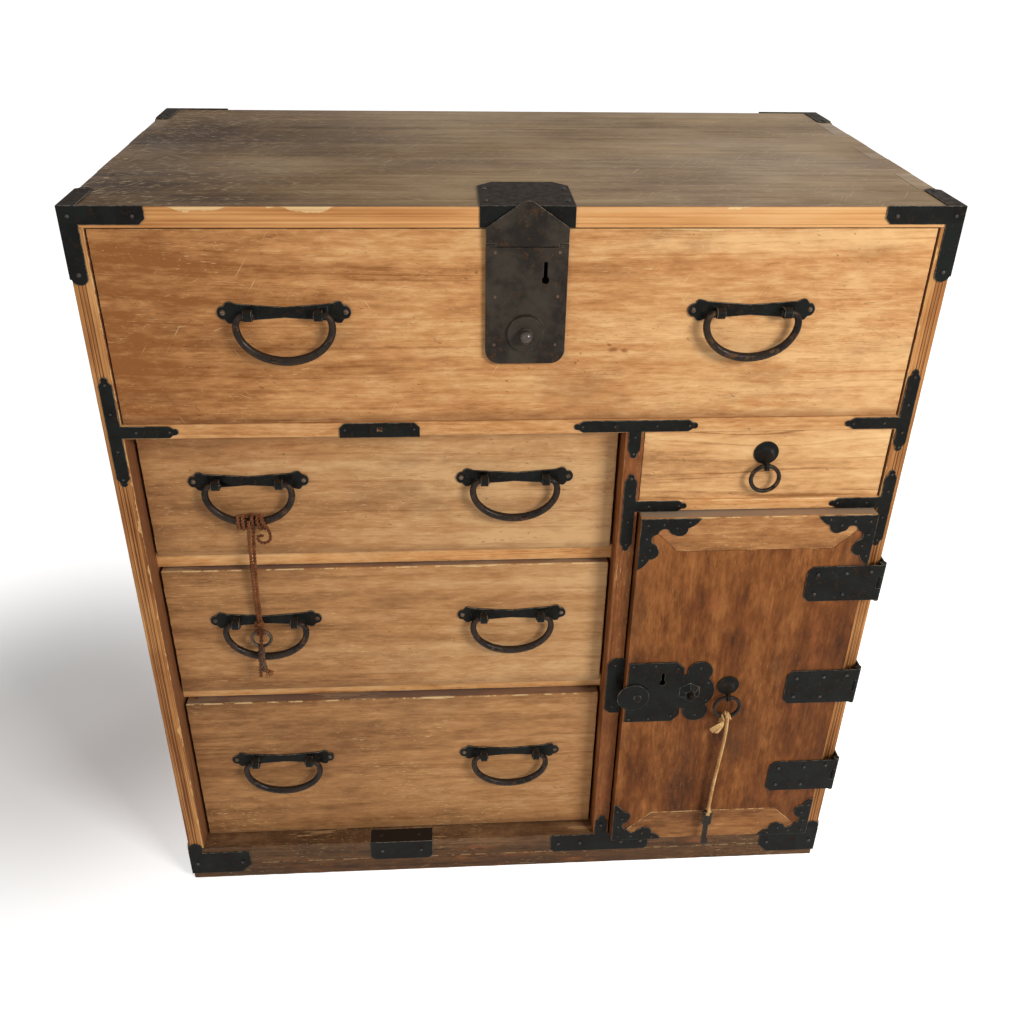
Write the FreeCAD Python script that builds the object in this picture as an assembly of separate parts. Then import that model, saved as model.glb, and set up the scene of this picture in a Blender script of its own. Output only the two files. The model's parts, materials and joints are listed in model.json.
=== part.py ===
import FreeCAD
import Part
import math
import os

from FreeCAD import Vector

# A Japanese clothing chest: one wide drawer over three drawers, a small drawer and a cupboard.
# Millimetres. X runs to the right, -Y is the front and +Z is up.
# The origin is the middle of the underside.

# Case boards
case_width = 909.0
case_depth = 497.0
side_thickness = 21.0
top_thickness = 21.0
base_thickness = 29.0
back_thickness = 9.0
divider_thickness = 21.0
dust_thickness = 6.0
rail_depth = 60.0
housing_depth = 6.0
finger_count = 7
back_plank_count = 5

# Rails, from the bottom up
base_rail_height = 32.5
lower_rail_height = 20.0
middle_rail_height = 20.5
small_rail_height = 14.0
upper_rail_height = 16.5

# Openings between the rails
lower_opening_height = 246.5
middle_opening_height = 192.0
upper_opening_height = 172.0
small_opening_height = 90.5
top_opening_height = 216.0
left_bay_share = 0.6407

# Drawers
drawer_front_thickness = 20.0
drawer_side_thickness = 12.0
drawer_back_thickness = 11.0
drawer_bottom_thickness = 8.0
drawer_lap = 8.0
drawer_side_drop = 3.0
drawer_back_drop = 14.0
drawer_back_gap = 12.0
drawer_rest_gap = 0.3
drawer_head_gap = 1.6
wide_side_gap = 1.5
left_side_gap = 3.5
small_side_gap = 1.6
wide_recess = 2.0
left_recess = 26.0
small_recess = 3.0
middle_rail_setback = 34.0
lower_rail_setback = 39.0

# Door
door_proud = 15.0
door_thickness = 24.0
door_free_gap = 3.0
door_hinge_gap = 2.5
door_head_gap = 1.5
door_foot_gap = 3.0
door_top_batten = 47.0
door_bottom_batten = 53.5
door_board_count = 3

# Iron
strap_thickness = 1.5
leaf_thickness = 1.6
plate_thickness = 2.0
running_gap = 0.08
slack = 0.35
nail_radius = 3.2
nail_height = 1.8

# Levels, worked out from the heights above
base_top = base_thickness
sill_top = base_top + base_rail_height
lower_ceiling = sill_top + lower_opening_height
middle_floor = lower_ceiling + lower_rail_height
middle_ceiling = middle_floor + middle_opening_height
upper_floor = middle_ceiling + middle_rail_height
upper_ceiling = upper_floor + upper_opening_height
top_floor = upper_ceiling + upper_rail_height
top_ceiling = top_floor + top_opening_height
case_height = top_ceiling + top_thickness
small_floor = upper_ceiling - small_opening_height
door_ceiling = small_floor - small_rail_height

half_width = case_width / 2
inner_x = half_width - side_thickness
divider_left = -inner_x + 2 * inner_x * left_bay_share
divider_right = divider_left + divider_thickness
front = -case_depth / 2
back = case_depth / 2
back_inner = back - back_thickness
overrun = plate_thickness


def box(x0, x1, y0, y1, z0, z1):
    return Part.makeBox(x1 - x0, y1 - y0, z1 - z0, Vector(x0, y0, z0))


def join(shapes):
    whole = shapes[0].fuse(shapes[1:]) if len(shapes) > 1 else shapes[0]
    return whole.removeSplitter()


def place(plane, level, a, b):
    if plane == "y":
        return Vector(a, level, b)
    if plane == "z":
        return Vector(a, b, level)
    return Vector(level, a, b)


def prism(outline, plane, start, end):
    """A flat shape pushed out square to its plane. A step is a point, or the middle and end of an arc."""
    here = place(plane, start, *outline[0])
    first = here
    edges = []
    for step in outline[1:] + [outline[0]]:
        if isinstance(step[0], tuple):
            through = place(plane, start, *step[0])
            there = place(plane, start, *step[1])
            edges.append(Part.Arc(here, through, there).toShape())
        else:
            there = place(plane, start, *step)
            if there.distanceToPoint(here) < strap_thickness / 1000:
                continue
            edges.append(Part.LineSegment(here, there).toShape())
        here = there
        if here.distanceToPoint(first) < strap_thickness / 1000:
            break
    face = Part.Face(Part.Wire(edges))
    push = place(plane, end - start, 0.0, 0.0)
    return face.extrude(push)


def rod(radius, x, y, z, direction, length):
    return Part.makeCylinder(radius, length, Vector(x, y, z), direction)


toward_front = Vector(0, -1, 0)
toward_back = Vector(0, 1, 0)
toward_right = Vector(1, 0, 0)
upward = Vector(0, 0, 1)
downward = Vector(0, 0, -1)
head_top_share = 0.5
nail_small_share = 0.62


def nail(x, y, z, direction=toward_front, size=1.0):
    """A forged nail's head, seated on the iron it holds."""
    radius = nail_radius * size
    return Part.makeCone(radius, radius * head_top_share, nail_height * size, Vector(x, y, z), direction)


def mirrored(shape):
    return shape.mirror(Vector(0, 0, 0), toward_right)


def mirrored_back(shape):
    return shape.mirror(Vector(0, 0, 0), toward_back)


nodes = {}


def add(name, shapes):
    nodes[name] = shapes if isinstance(shapes, list) else [shapes]


# Straps that narrow in two slanted shoulders to a small round lobe at the end
strap_taper_share = 0.72
strap_end_share = 0.5
strap_lobe_share = 0.5
strap_lobe_width_share = 0.5


def strap(x, z, length, width, turn, y):
    """One arm of a strap from (x, z), flat on the front at y, with a small lobe at its end."""
    tip = min(width * strap_taper_share, length * strap_end_share)
    half = width / 2
    lobe = half * strap_lobe_width_share
    shoulder = length - tip
    notch = length - tip * strap_lobe_share
    outline = [
        (0.0, -half), (shoulder, -half), (notch, -lobe), ((length, 0.0), (notch, lobe)),
        (shoulder, half), (0.0, half),
    ]
    flat = prism(outline, "y", 0.0, -strap_thickness)
    flat.rotate(Vector(0, 0, 0), toward_front, turn)
    flat.translate(Vector(x, y, z))
    return flat


# Case: boards with finger joints at the four long corners
mortise_depth = 12.0
mortise_gap = 1.0


def case_boards():
    finger = case_depth / finger_count
    top = box(-half_width, half_width, front, back, top_ceiling, case_height)
    base = box(-half_width, half_width, front, back, 0.0, base_top)
    side = box(inner_x, half_width, front, back, base_top, top_ceiling)
    for i in range(1, finger_count, 2):
        start = front + i * finger
        notch = box(inner_x, half_width, start, start + finger, 0.0, case_height)
        side = side.fuse(notch)
        top = top.cut([notch, mirrored(notch)])
        base = base.cut([notch, mirrored(notch)])
    return top, base, side.removeSplitter()


def shelf(x0, x1, z_top, y_start):
    """A thin board between two compartments, level with the top of its rail."""
    return box(x0, x1, y_start, back_inner, z_top - dust_thickness, z_top)


tenon_height = 10.0
tenon_margin = 10.0
bearer_width = 25.0


def build_case():
    top, base, right = case_boards()
    left = mirrored(right)
    housed_left = -inner_x - housing_depth
    housed_right = inner_x + housing_depth
    upper_rail = box(housed_left, housed_right, front, front + rail_depth, upper_ceiling, top_floor)
    base_rail = box(housed_left, housed_right, front, front + rail_depth, base_top, sill_top)
    middle_front = front + middle_rail_setback
    lower_front = front + lower_rail_setback
    bay_end = divider_left + housing_depth
    bay_start = divider_right - housing_depth
    middle_rear = middle_front + rail_depth
    lower_rear = lower_front + rail_depth
    middle_rail = box(housed_left, bay_end, middle_front, middle_rear, middle_ceiling, upper_floor)
    lower_rail = box(housed_left, bay_end, lower_front, lower_rear, lower_ceiling, middle_floor)
    small_rail = box(bay_start, housed_right, front, front + rail_depth, door_ceiling, small_floor)
    shelves = [
        shelf(housed_left, housed_right, top_floor, front + rail_depth),
        shelf(housed_left, bay_end, upper_floor, middle_rear),
        shelf(housed_left, bay_end, middle_floor, lower_rear),
        shelf(bay_start, housed_right, small_floor, front + rail_depth),
        shelf(housed_left, housed_right, sill_top, front + rail_depth),
    ]
    bearers = []
    divider_middle = (divider_left + divider_right) / 2
    rail_rear = front + rail_depth
    for x in (-inner_x, divider_middle - bearer_width / 2, inner_x - bearer_width):
        bearers.append(box(x, x + bearer_width, rail_rear, back_inner, base_top, sill_top - dust_thickness))

    divider = join([
        box(divider_left, divider_right, front, rail_rear, sill_top, upper_ceiling),
        box(divider_left, divider_right, rail_rear, back_inner, sill_top, top_floor - dust_thickness),
    ])
    tenons = []
    tenon_side = divider_thickness / 3
    for z in (sill_top - tenon_height, upper_ceiling):
        tenons.append(box(
            divider_left + tenon_side, divider_right - tenon_side,
            front + tenon_margin, front + rail_depth - tenon_margin, z, z + tenon_height,
        ))
    upper_rail = upper_rail.cut(tenons[1])
    base_rail = base_rail.cut(tenons[0])
    crossing = [middle_rail, lower_rail, small_rail, shelves[1], shelves[2], shelves[3]]
    divider = join([divider] + tenons).cut(crossing)
    housed = [upper_rail, base_rail, middle_rail, lower_rail, small_rail] + shelves
    left = left.cut(housed)
    right = right.cut(housed)
    return {
        "top": top, "base": base, "left": left, "right": right, "divider": divider,
        "upper_rail": upper_rail, "base_rail": base_rail,
        "rails": [middle_rail, lower_rail, small_rail] + bearers, "shelves": shelves,
    }


def back_planks():
    """Boards across the back, each standing on the one below."""
    height = (top_ceiling - base_top) / back_plank_count
    planks = []
    for i in range(back_plank_count):
        bottom = base_top + i * height
        planks.append(box(-inner_x, inner_x, back_inner, back, bottom, bottom + height))
    return planks


# Drawers: where each one stands in its opening
drawer_places = {
    "top_drawer": (-inner_x, inner_x, top_floor, top_ceiling, wide_side_gap, wide_recess),
    "upper_drawer": (-inner_x, divider_left, upper_floor, upper_ceiling, left_side_gap, left_recess),
    "middle_drawer": (-inner_x, divider_left, middle_floor, middle_ceiling, left_side_gap, left_recess),
    "lower_drawer": (-inner_x, divider_left, sill_top, lower_ceiling, left_side_gap, left_recess),
    "small_drawer": (divider_right, inner_x, small_floor, upper_ceiling, small_side_gap, small_recess),
}


def drawer_size(name):
    left, right, floor, ceiling, gap, recess = drawer_places[name]
    return left + gap, right - gap, floor + drawer_rest_gap, ceiling - drawer_head_gap, front + recess


def drawer_front(name):
    """The front board, lapped at its back for the sides and the bottom."""
    x0, x1, z0, z1, face = drawer_size(name)
    face_depth = drawer_front_thickness - drawer_lap
    board = box(x0, x1, face, face + face_depth, z0, z1)
    lap = box(
        x0 + drawer_side_thickness, x1 - drawer_side_thickness,
        face + face_depth, face + drawer_front_thickness, z0 + drawer_bottom_thickness, z1,
    )
    return join([board, lap])


def drawer_box(name):
    """Two sides, a back and a bottom board, each a piece of its own."""
    x0, x1, z0, z1, face = drawer_size(name)
    start = face + drawer_front_thickness - drawer_lap
    end = back_inner - drawer_back_gap
    floor = z0 + drawer_bottom_thickness
    left = box(x0, x0 + drawer_side_thickness, start, end, floor, z1 - drawer_side_drop)
    right = box(x1 - drawer_side_thickness, x1, start, end, floor, z1 - drawer_side_drop)
    rear = box(
        x0 + drawer_side_thickness, x1 - drawer_side_thickness,
        end - drawer_back_thickness, end, floor, z1 - drawer_back_drop,
    )
    bottom = box(x0, x1, start, end, z0, floor)
    return [left, right, rear, bottom]


# Bail handles
handle_length = 138.0
handle_end_height = 24.0
handle_waist = 11.5
handle_nail_share = 0.458
plate_belly_share = 0.28
handle_drop = {"top_drawer": 86.5, "upper_drawer": 67.0, "middle_drawer": 74.5, "lower_drawer": 100.0}
handle_reach = {"top_drawer": 246.5, "upper_drawer": 154.5, "middle_drawer": 154.5, "lower_drawer": 155.5}
post_shank = 5.0
post_neck = 7.0
post_stand = 10.0
post_clinch = 9.0
eye_radius = 5.8
eye_width = 9.0
pin_radius = 3.0
pin_tail = 1.5
bail_inset = 19.5
bail_half_width = handle_length / 2 - bail_inset
bail_drop = 50.0
bail_corner_width = 8.0
bail_corner_drop = 12.0
bail_radius = 4.8
bail_shoulder_radius = 3.9
post_inset = 13.5
post_reach = bail_half_width - post_inset
handle_plate_shares = (
    (0.00, 0.48), (0.70, 0.78), (0.80, 1.00), (0.85, 0.97), (0.895, 0.62), (0.925, 0.60), (0.955, 0.54),
    (0.985, 0.34), (1.00, 0.10),
)


def handle_plate(x, z, face):
    """The backplate: waisted in the middle, with a shoulder and a small round leaf at each end."""
    half = handle_length / 2
    rise = handle_end_height / 2
    waist = (x, z + handle_waist / 2)
    upper = [(x + half * a, z + rise * b) for a, b in handle_plate_shares[1:]]
    lower = [(a, 2 * z - b) for a, b in reversed(upper)]
    left_lower = [(2 * x - a, b) for a, b in reversed(lower)]
    left_upper = [(2 * x - a, b) for a, b in reversed(upper)]
    belly = handle_waist / 2 + (rise - handle_waist / 2) * plate_belly_share
    quarter = half / 2 * handle_plate_shares[1][0]
    outline = [waist, ((x + quarter, z + belly), upper[0])] + upper[1:]
    outline += lower
    outline += [((x + quarter, z - belly), (x, z - handle_waist / 2))]
    outline += [((x - quarter, z - belly), left_lower[0])] + left_lower[1:] + left_upper
    outline += [((x - quarter, z + belly), waist)]
    return prism(outline, "y", face, face - plate_thickness)


def pivot_depth(face):
    return face - plate_thickness - post_stand


def square_bar(x, z, side, y0, y1):
    half = side / 2
    return box(x - half, x + half, y0, y1, z - half, z + half)


def post(x, z, face, hole_radius, width):
    """A forged eye on a square shank that is clinched over inside the front board."""
    level = pivot_depth(face)
    eye = rod(eye_radius, x - width / 2, level, z, toward_right, width)
    inside = face + drawer_front_thickness
    outside = face - plate_thickness
    neck = square_bar(x, z, post_neck, level, outside)
    shank = square_bar(x, z, post_shank, outside, inside)
    clinch = square_bar(x, z, post_clinch, inside, inside + plate_thickness)
    hole = rod(hole_radius, x - width, level, z, toward_right, 2 * width)
    return join([eye, neck]).cut(hole).fuse([shank, clinch]).removeSplitter()


def shank_hole(x, z, face):
    return square_bar(x, z, post_shank, face - plate_thickness, face + drawer_front_thickness)


def bail_sections():
    """The bail's centreline, direction and radius from one pin to the other, in its own plane."""
    corner = []
    corner_steps = 4
    arc_steps = 12
    for i in range(corner_steps):
        turn = math.pi / 2 * (1 - i / corner_steps)
        a = bail_half_width - bail_corner_width + bail_corner_width * math.cos(turn)
        b = -bail_corner_drop + bail_corner_drop * math.sin(turn)
        run, fall = bail_corner_width * math.sin(turn), bail_corner_drop * math.cos(turn)
        radius = pin_radius + (bail_shoulder_radius - pin_radius) * i / corner_steps
        corner.append((a, b, run, -fall, radius))
    low = bail_drop - bail_corner_drop
    arc = []
    for i in range(arc_steps + 1):
        turn = math.pi * i / arc_steps
        a = bail_half_width * math.cos(turn)
        b = -bail_corner_drop - low * math.sin(turn)
        run, fall = -bail_half_width * math.sin(turn), low * math.cos(turn)
        radius = bail_shoulder_radius + (bail_radius - bail_shoulder_radius) * math.sin(turn) ** 2
        arc.append((a, b, run, -fall, radius))
    far_corner = [(-a, b, run, -rise, radius) for a, b, run, rise, radius in reversed(corner)]
    return corner + arc + far_corner


def bail(x, z, face):
    """A wire bail, thick at the grip, its ends turned in as pins."""
    level = pivot_depth(face)
    rings = []
    for a, b, run, rise, radius in bail_sections():
        ring_wire_edge = Part.makeCircle(radius)
        ring_wire_edge.rotate(Vector(0, 0, 0), toward_back, math.degrees(math.atan2(run, rise)))
        ring_wire_edge.translate(Vector(x + a, level, z + b))
        rings.append(Part.Wire([ring_wire_edge]))
    wire = Part.makeLoft(rings, True, False)
    pin_start = post_reach - eye_width / 2 - pin_tail
    pin_end = bail_half_width - bail_corner_width
    pins = [
        rod(pin_radius, x + pin_start, level, z, toward_right, pin_end - pin_start),
        rod(pin_radius, x - pin_end, level, z, toward_right, pin_end - pin_start),
    ]
    return wire.fuse(pins).removeSplitter()


def build_drawers():
    for name in drawer_places:
        board = drawer_front(name)
        x0, x1, z0, z1, face = drawer_size(name)
        if name in handle_drop:
            mounts = []
            level = z1 - handle_drop[name]
            middle = (x0 + x1) / 2
            reach = handle_reach[name]
            for word, x in (("left", middle - reach), ("right", middle + reach)):
                plate = handle_plate(x, level, face)
                for post_x in (x - post_reach, x + post_reach):
                    hole = shank_hole(post_x, level, face)
                    plate = plate.cut(hole)
                    board = board.cut(hole)
                    mounts.append(post(post_x, level, face, pin_radius + running_gap, eye_width))
                mounts.append(plate)
                nail_reach = handle_length * handle_nail_share
                for nail_x in (x - nail_reach, x + nail_reach):
                    mounts.append(nail(nail_x, face - plate_thickness, level))
                add(name + "_bail_" + word, bail(x, level, face))
            add(name + "_handle_mounts", mounts)
        add(name + "_box", drawer_box(name))
        nodes[name + "_front"] = [board]


# Ring pulls: a round plate, an eye and a ring that hangs in it
ring_radius = 16.5
ring_wire = 2.5
ring_plate_radius = 14.5
ring_plate_rise = 12.5
ring_eye_width = 4.0
ring_stand = 8.5
ring_shank_radius = 2.5
ring_shank_length = 14.0


def ring_level(face):
    return face - strap_thickness - ring_stand


def ring_mount(x, z, face):
    """(x, z) is the eye's middle, near the foot of the round plate."""
    level = ring_level(face)
    plate = rod(ring_plate_radius, x, face, z + ring_plate_rise, toward_front, strap_thickness)
    eye = rod(eye_radius, x - ring_eye_width / 2, level, z, toward_right, ring_eye_width)
    outside = face - strap_thickness
    neck = square_bar(x, z, ring_eye_width, level, outside)
    hole = rod(ring_wire + slack, x - ring_eye_width, level, z, toward_right, 2 * ring_eye_width)
    shank = rod(ring_shank_radius, x, outside, z, toward_back, strap_thickness + ring_shank_length)
    post_piece = join([eye, neck]).cut(hole).fuse(shank).removeSplitter()
    return [plate.cut(shank), post_piece]


def ring_shank_hole(x, z, face):
    return rod(ring_shank_radius, x, face, z, toward_back, ring_shank_length)


def ring(x, z, face):
    middle = Vector(x, ring_level(face), z - ring_radius)
    return Part.makeTorus(ring_radius, ring_wire, middle, toward_front)


small_ring_rise = 48.0


def build_small_ring():
    x0, x1, z0, z1, face = drawer_size("small_drawer")
    x = (x0 + x1) / 2
    z = z0 + small_ring_rise
    add("small_drawer_ring_mount", ring_mount(x, z, face))
    add("small_drawer_ring", ring(x, z, face))
    nodes["small_drawer_front"] = [nodes["small_drawer_front"][0].cut(ring_shank_hole(x, z, face))]
    return x, z, face


# Door: vertical boards between two mitred battens
door_x0 = divider_right + door_free_gap
door_x1 = inner_x - door_hinge_gap
door_z0 = sill_top + door_foot_gap
door_z1 = door_ceiling - door_head_gap
door_face = front - door_proud
door_rear = door_face + door_thickness

# Door lock
lock_plate_half_height = 49.5
lock_plate_length = 62.0
lock_plate_chamfer = 10.0
lock_plate_inset = 2.5
lock_neck_half_height = 27.0
lock_body_radius = 30.0
lock_body_reach = 85.0
lock_lobe_radius = 16.5
lock_lobe_rise = 33.0
lock_lobe_reach = 93.0
lock_rise = 276.0
lock_middle = door_z0 + lock_rise
lock_knob_reach = 82.0
bolt_thickness = 5.0
bolt_inset = 17.0
bolt_length = 78.0
bolt_height = 14.0
bolt_gap = 0.4
door_bolt_travel = 12.0
shaft_radius = 3.5
hub_radius = 4.5
cam_tip_radius = 2.2
knob_radius = 5.0
boss_height = 6.0
boss_radius = 15.0
boss_top_share = 0.45
boss_sides = 6
boss_turn_share = 0.5
keyhole_width = 4.2
keyhole_round = 4.2
door_keyhole_height = 16.5
door_keyhole_reach = 45.0
door_keyhole_rise = 16.0
disc_radius = 21.0
disc_reach = 8.0
disc_drop = 6.0
disc_pivot_offset = 5.5
disc_pivot_radius = 2.4
disc_gap = 0.3
back_plate_margin = 8.0
back_plate_thickness = 1.2
disc_pin_depth = 6.0
lock_nail_shares = (
    (0.08, 0.90), (0.55, 0.90), (1.02, 0.80), (0.08, -0.90), (0.50, -0.90), (0.98, -0.82),
    (1.50, 0.80), (1.50, -0.80), (1.70, 0.30), (1.70, -0.30),
)

# Door ring
door_ring_reach = 132.5
door_ring_drop = 4.0

# Door corner irons
corner_iron = 72.0
corner_iron_shares = (
    (1.00, 0.00), ((0.90, 0.13), (0.79, 0.19)), ((0.71, 0.33), (0.57, 0.31)), ((0.50, 0.28), (0.47, 0.22)),
    ((0.34, 0.22), (0.30, 0.30)), ((0.22, 0.34), (0.22, 0.47)), ((0.28, 0.50), (0.31, 0.57)),
    ((0.33, 0.71), (0.19, 0.79)), ((0.13, 0.90), (0.00, 1.00)), (0.00, 0.00),
)
corner_nail_shares = (
    (0.80, 0.07), (0.60, 0.18), (0.38, 0.11), (0.12, 0.12), (0.11, 0.38), (0.18, 0.60), (0.07, 0.80),
)

# Hinges
hinge_reach = 94.5
hinge_heights = {"top": 52.0, "middle": 55.0, "bottom": 55.0}
top_hinge_drop = 98.5
middle_hinge_rise = 278.0
bottom_hinge_rise = 117.0
hinge_levels = {
    "top": door_z1 - top_hinge_drop,
    "middle": door_z0 + middle_hinge_rise,
    "bottom": door_z0 + bottom_hinge_rise,
}
hinge_chamfer = 7.0
barrel_radius = 3.8
hinge_pin_radius = 2.2
knuckle_gap = 0.3
leaf_clear = 0.6
case_leaf_length = 57.0
hinge_nail_shares = ((0.14, 0.28), (0.14, -0.28), (0.52, 0.30), (0.52, -0.30), (0.84, 0.33))
hinge_side_nail_share = 0.3
hinge_side_reach_share = 0.72
hinge_axis_x = half_width + leaf_thickness - barrel_radius
hinge_axis_y = door_face - leaf_thickness + barrel_radius


def door_boards():
    rim = [
        (door_x0, door_z0), (door_x0, door_z1),
        (door_x0 + door_top_batten, door_z1 - door_top_batten),
        (door_x1 - door_top_batten, door_z1 - door_top_batten),
        (door_x1, door_z1), (door_x1, door_z0),
        (door_x1 - door_bottom_batten, door_z0 + door_bottom_batten),
        (door_x0 + door_bottom_batten, door_z0 + door_bottom_batten),
    ]
    panel = prism(rim, "y", door_face, door_rear)
    width = (door_x1 - door_x0) / door_board_count
    boards = []
    for i in range(door_board_count):
        start = door_x0 + i * width
        board = box(start, start + width, door_face, door_rear, door_z0, door_z1)
        boards.append(panel.common(board))
    return boards


def door_battens():
    top = [
        (door_x0, door_z1), (door_x1, door_z1),
        (door_x1 - door_top_batten, door_z1 - door_top_batten),
        (door_x0 + door_top_batten, door_z1 - door_top_batten),
    ]
    bottom = [
        (door_x0, door_z0), (door_x1, door_z0),
        (door_x1 - door_bottom_batten, door_z0 + door_bottom_batten),
        (door_x0 + door_bottom_batten, door_z0 + door_bottom_batten),
    ]
    return [prism(top, "y", door_face, door_rear), prism(bottom, "y", door_face, door_rear)]


def corner_irons():
    irons = []
    for x, side in ((door_x0, 1), (door_x1, -1)):
        for z, rise in ((door_z1, -1), (door_z0, 1)):
            def point(share):
                return (x + side * corner_iron * share[0], z + rise * corner_iron * share[1])
            outline = []
            for step in corner_iron_shares:
                if isinstance(step[0], tuple):
                    outline.append((point(step[0]), point(step[1])))
                else:
                    outline.append(point(step))
            irons.append(prism(outline, "y", door_face, door_face - strap_thickness))
    return irons


def corner_nails():
    nails = []
    level = door_face - strap_thickness
    for x, side in ((door_x0, 1), (door_x1, -1)):
        for z, rise in ((door_z1, -1), (door_z0, 1)):
            for a, b in corner_nail_shares:
                nail_x = x + side * corner_iron * a
                nail_z = z + rise * corner_iron * b
                nails.append(nail(nail_x, level, nail_z, size=nail_small_share))
    return nails


def hinge_parts():
    """For each hinge: the leaf on the door, the leaf on the case's side and the pin."""
    door_leaves, case_leaves, pins, nails, side_nails = [], [], [], [], []
    for word, height in hinge_heights.items():
        middle = hinge_levels[word]
        low, high = middle - height / 2, middle + height / 2
        third = height / 3
        x_free = hinge_axis_x - hinge_reach
        outline = [
            (x_free, low + hinge_chamfer), (x_free, high - hinge_chamfer), (x_free + hinge_chamfer, high),
            (hinge_axis_x, high), (hinge_axis_x, low), (x_free + hinge_chamfer, low),
        ]
        leaf = prism(outline, "y", door_face, door_face - leaf_thickness)
        clear_x = hinge_axis_x - barrel_radius - leaf_clear
        inner_low = low + third
        inner_high = high - third
        end_length = third - knuckle_gap / 2
        leaf = leaf.cut(box(
            clear_x, hinge_axis_x + barrel_radius,
            door_face - leaf_thickness - overrun, door_face + overrun,
            inner_low - knuckle_gap / 2, inner_high + knuckle_gap / 2,
        ))
        bore_radius = hinge_pin_radius + running_gap
        bore_length = height + 2 * overrun
        bore = rod(bore_radius, hinge_axis_x, hinge_axis_y, low - overrun, upward, bore_length)
        ends = [
            rod(barrel_radius, hinge_axis_x, hinge_axis_y, low, upward, end_length),
            rod(barrel_radius, hinge_axis_x, hinge_axis_y, high - end_length, upward, end_length),
        ]
        door_leaves.append(join([leaf] + ends).cut(bore))

        plate = box(
            half_width, half_width + leaf_thickness,
            hinge_axis_y, hinge_axis_y + case_leaf_length, low, high,
        )
        spans = (
            (low - overrun, inner_low + knuckle_gap / 2),
            (inner_high - knuckle_gap / 2, high + overrun),
        )
        for z0, z1 in spans:
            plate = plate.cut(box(
                half_width - overrun, half_width + leaf_thickness + overrun,
                hinge_axis_y - overrun, hinge_axis_y + barrel_radius + leaf_clear, z0, z1,
            ))
        knuckle = rod(
            barrel_radius, hinge_axis_x, hinge_axis_y, inner_low + knuckle_gap / 2,
            upward, third - knuckle_gap,
        )
        case_leaves.append(join([plate, knuckle]).cut(bore))
        foot = low - knuckle_gap
        head = high + knuckle_gap
        pin = rod(hinge_pin_radius, hinge_axis_x, hinge_axis_y, foot, upward, head - foot)
        cap_low = rod(barrel_radius, hinge_axis_x, hinge_axis_y, foot, downward, leaf_thickness)
        cap_high = rod(barrel_radius, hinge_axis_x, hinge_axis_y, head, upward, leaf_thickness)
        pins.append(join([pin, cap_low, cap_high]))

        level = door_face - leaf_thickness
        for a, b in hinge_nail_shares:
            nails.append(nail(x_free + hinge_reach * a, level, middle + height * b))
        for b in (-hinge_side_nail_share, hinge_side_nail_share):
            side_nails.append(nail(
                half_width + leaf_thickness, hinge_axis_y + case_leaf_length * hinge_side_reach_share,
                middle + height * b, toward_right,
            ))
    return door_leaves, case_leaves, pins, nails, side_nails


def cam(x, y, z, direction_x, direction_z, throw, depth):
    """A hub and a short arm at the inner end of a knob's shaft."""
    hub = rod(hub_radius, x, y, z, toward_back, depth)
    tip = rod(cam_tip_radius, x + throw * direction_x, y, z + throw * direction_z, toward_back, depth)
    return [hub, tip]


def knob(x, z, face, boss_rise, inner, throw, direction_x, direction_z, depth, size):
    """A turned knob whose shaft goes through the plate and the wood to a cam."""
    start = face - boss_rise - disc_gap
    neck = rod(shaft_radius, x, start - size, z, toward_back, inner - start + size)
    ball = Part.makeSphere(size, Vector(x, start - size, z))
    skirt = rod(size, x, start, z, toward_front, size * boss_top_share)
    return join([neck, ball, skirt] + cam(x, inner, z, direction_x, direction_z, throw, depth))


def keyhole(x, z, y0, y1, height):
    slot = box(x - keyhole_width / 2, x + keyhole_width / 2, y0, y1, z, z + height)
    eye = rod(keyhole_round, x, y0, z, toward_back, y1 - y0)
    return [slot, eye]


def boss_outline(x, y, z, radius):
    """A hexagon with a corner at its top and its foot."""
    corners = []
    for i in range(boss_sides + 1):
        turn = 2 * math.pi * (i + boss_turn_share) / boss_sides
        corners.append(Vector(x + radius * math.cos(turn), y, z + radius * math.sin(turn)))
    return Part.makePolygon(corners)


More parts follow.
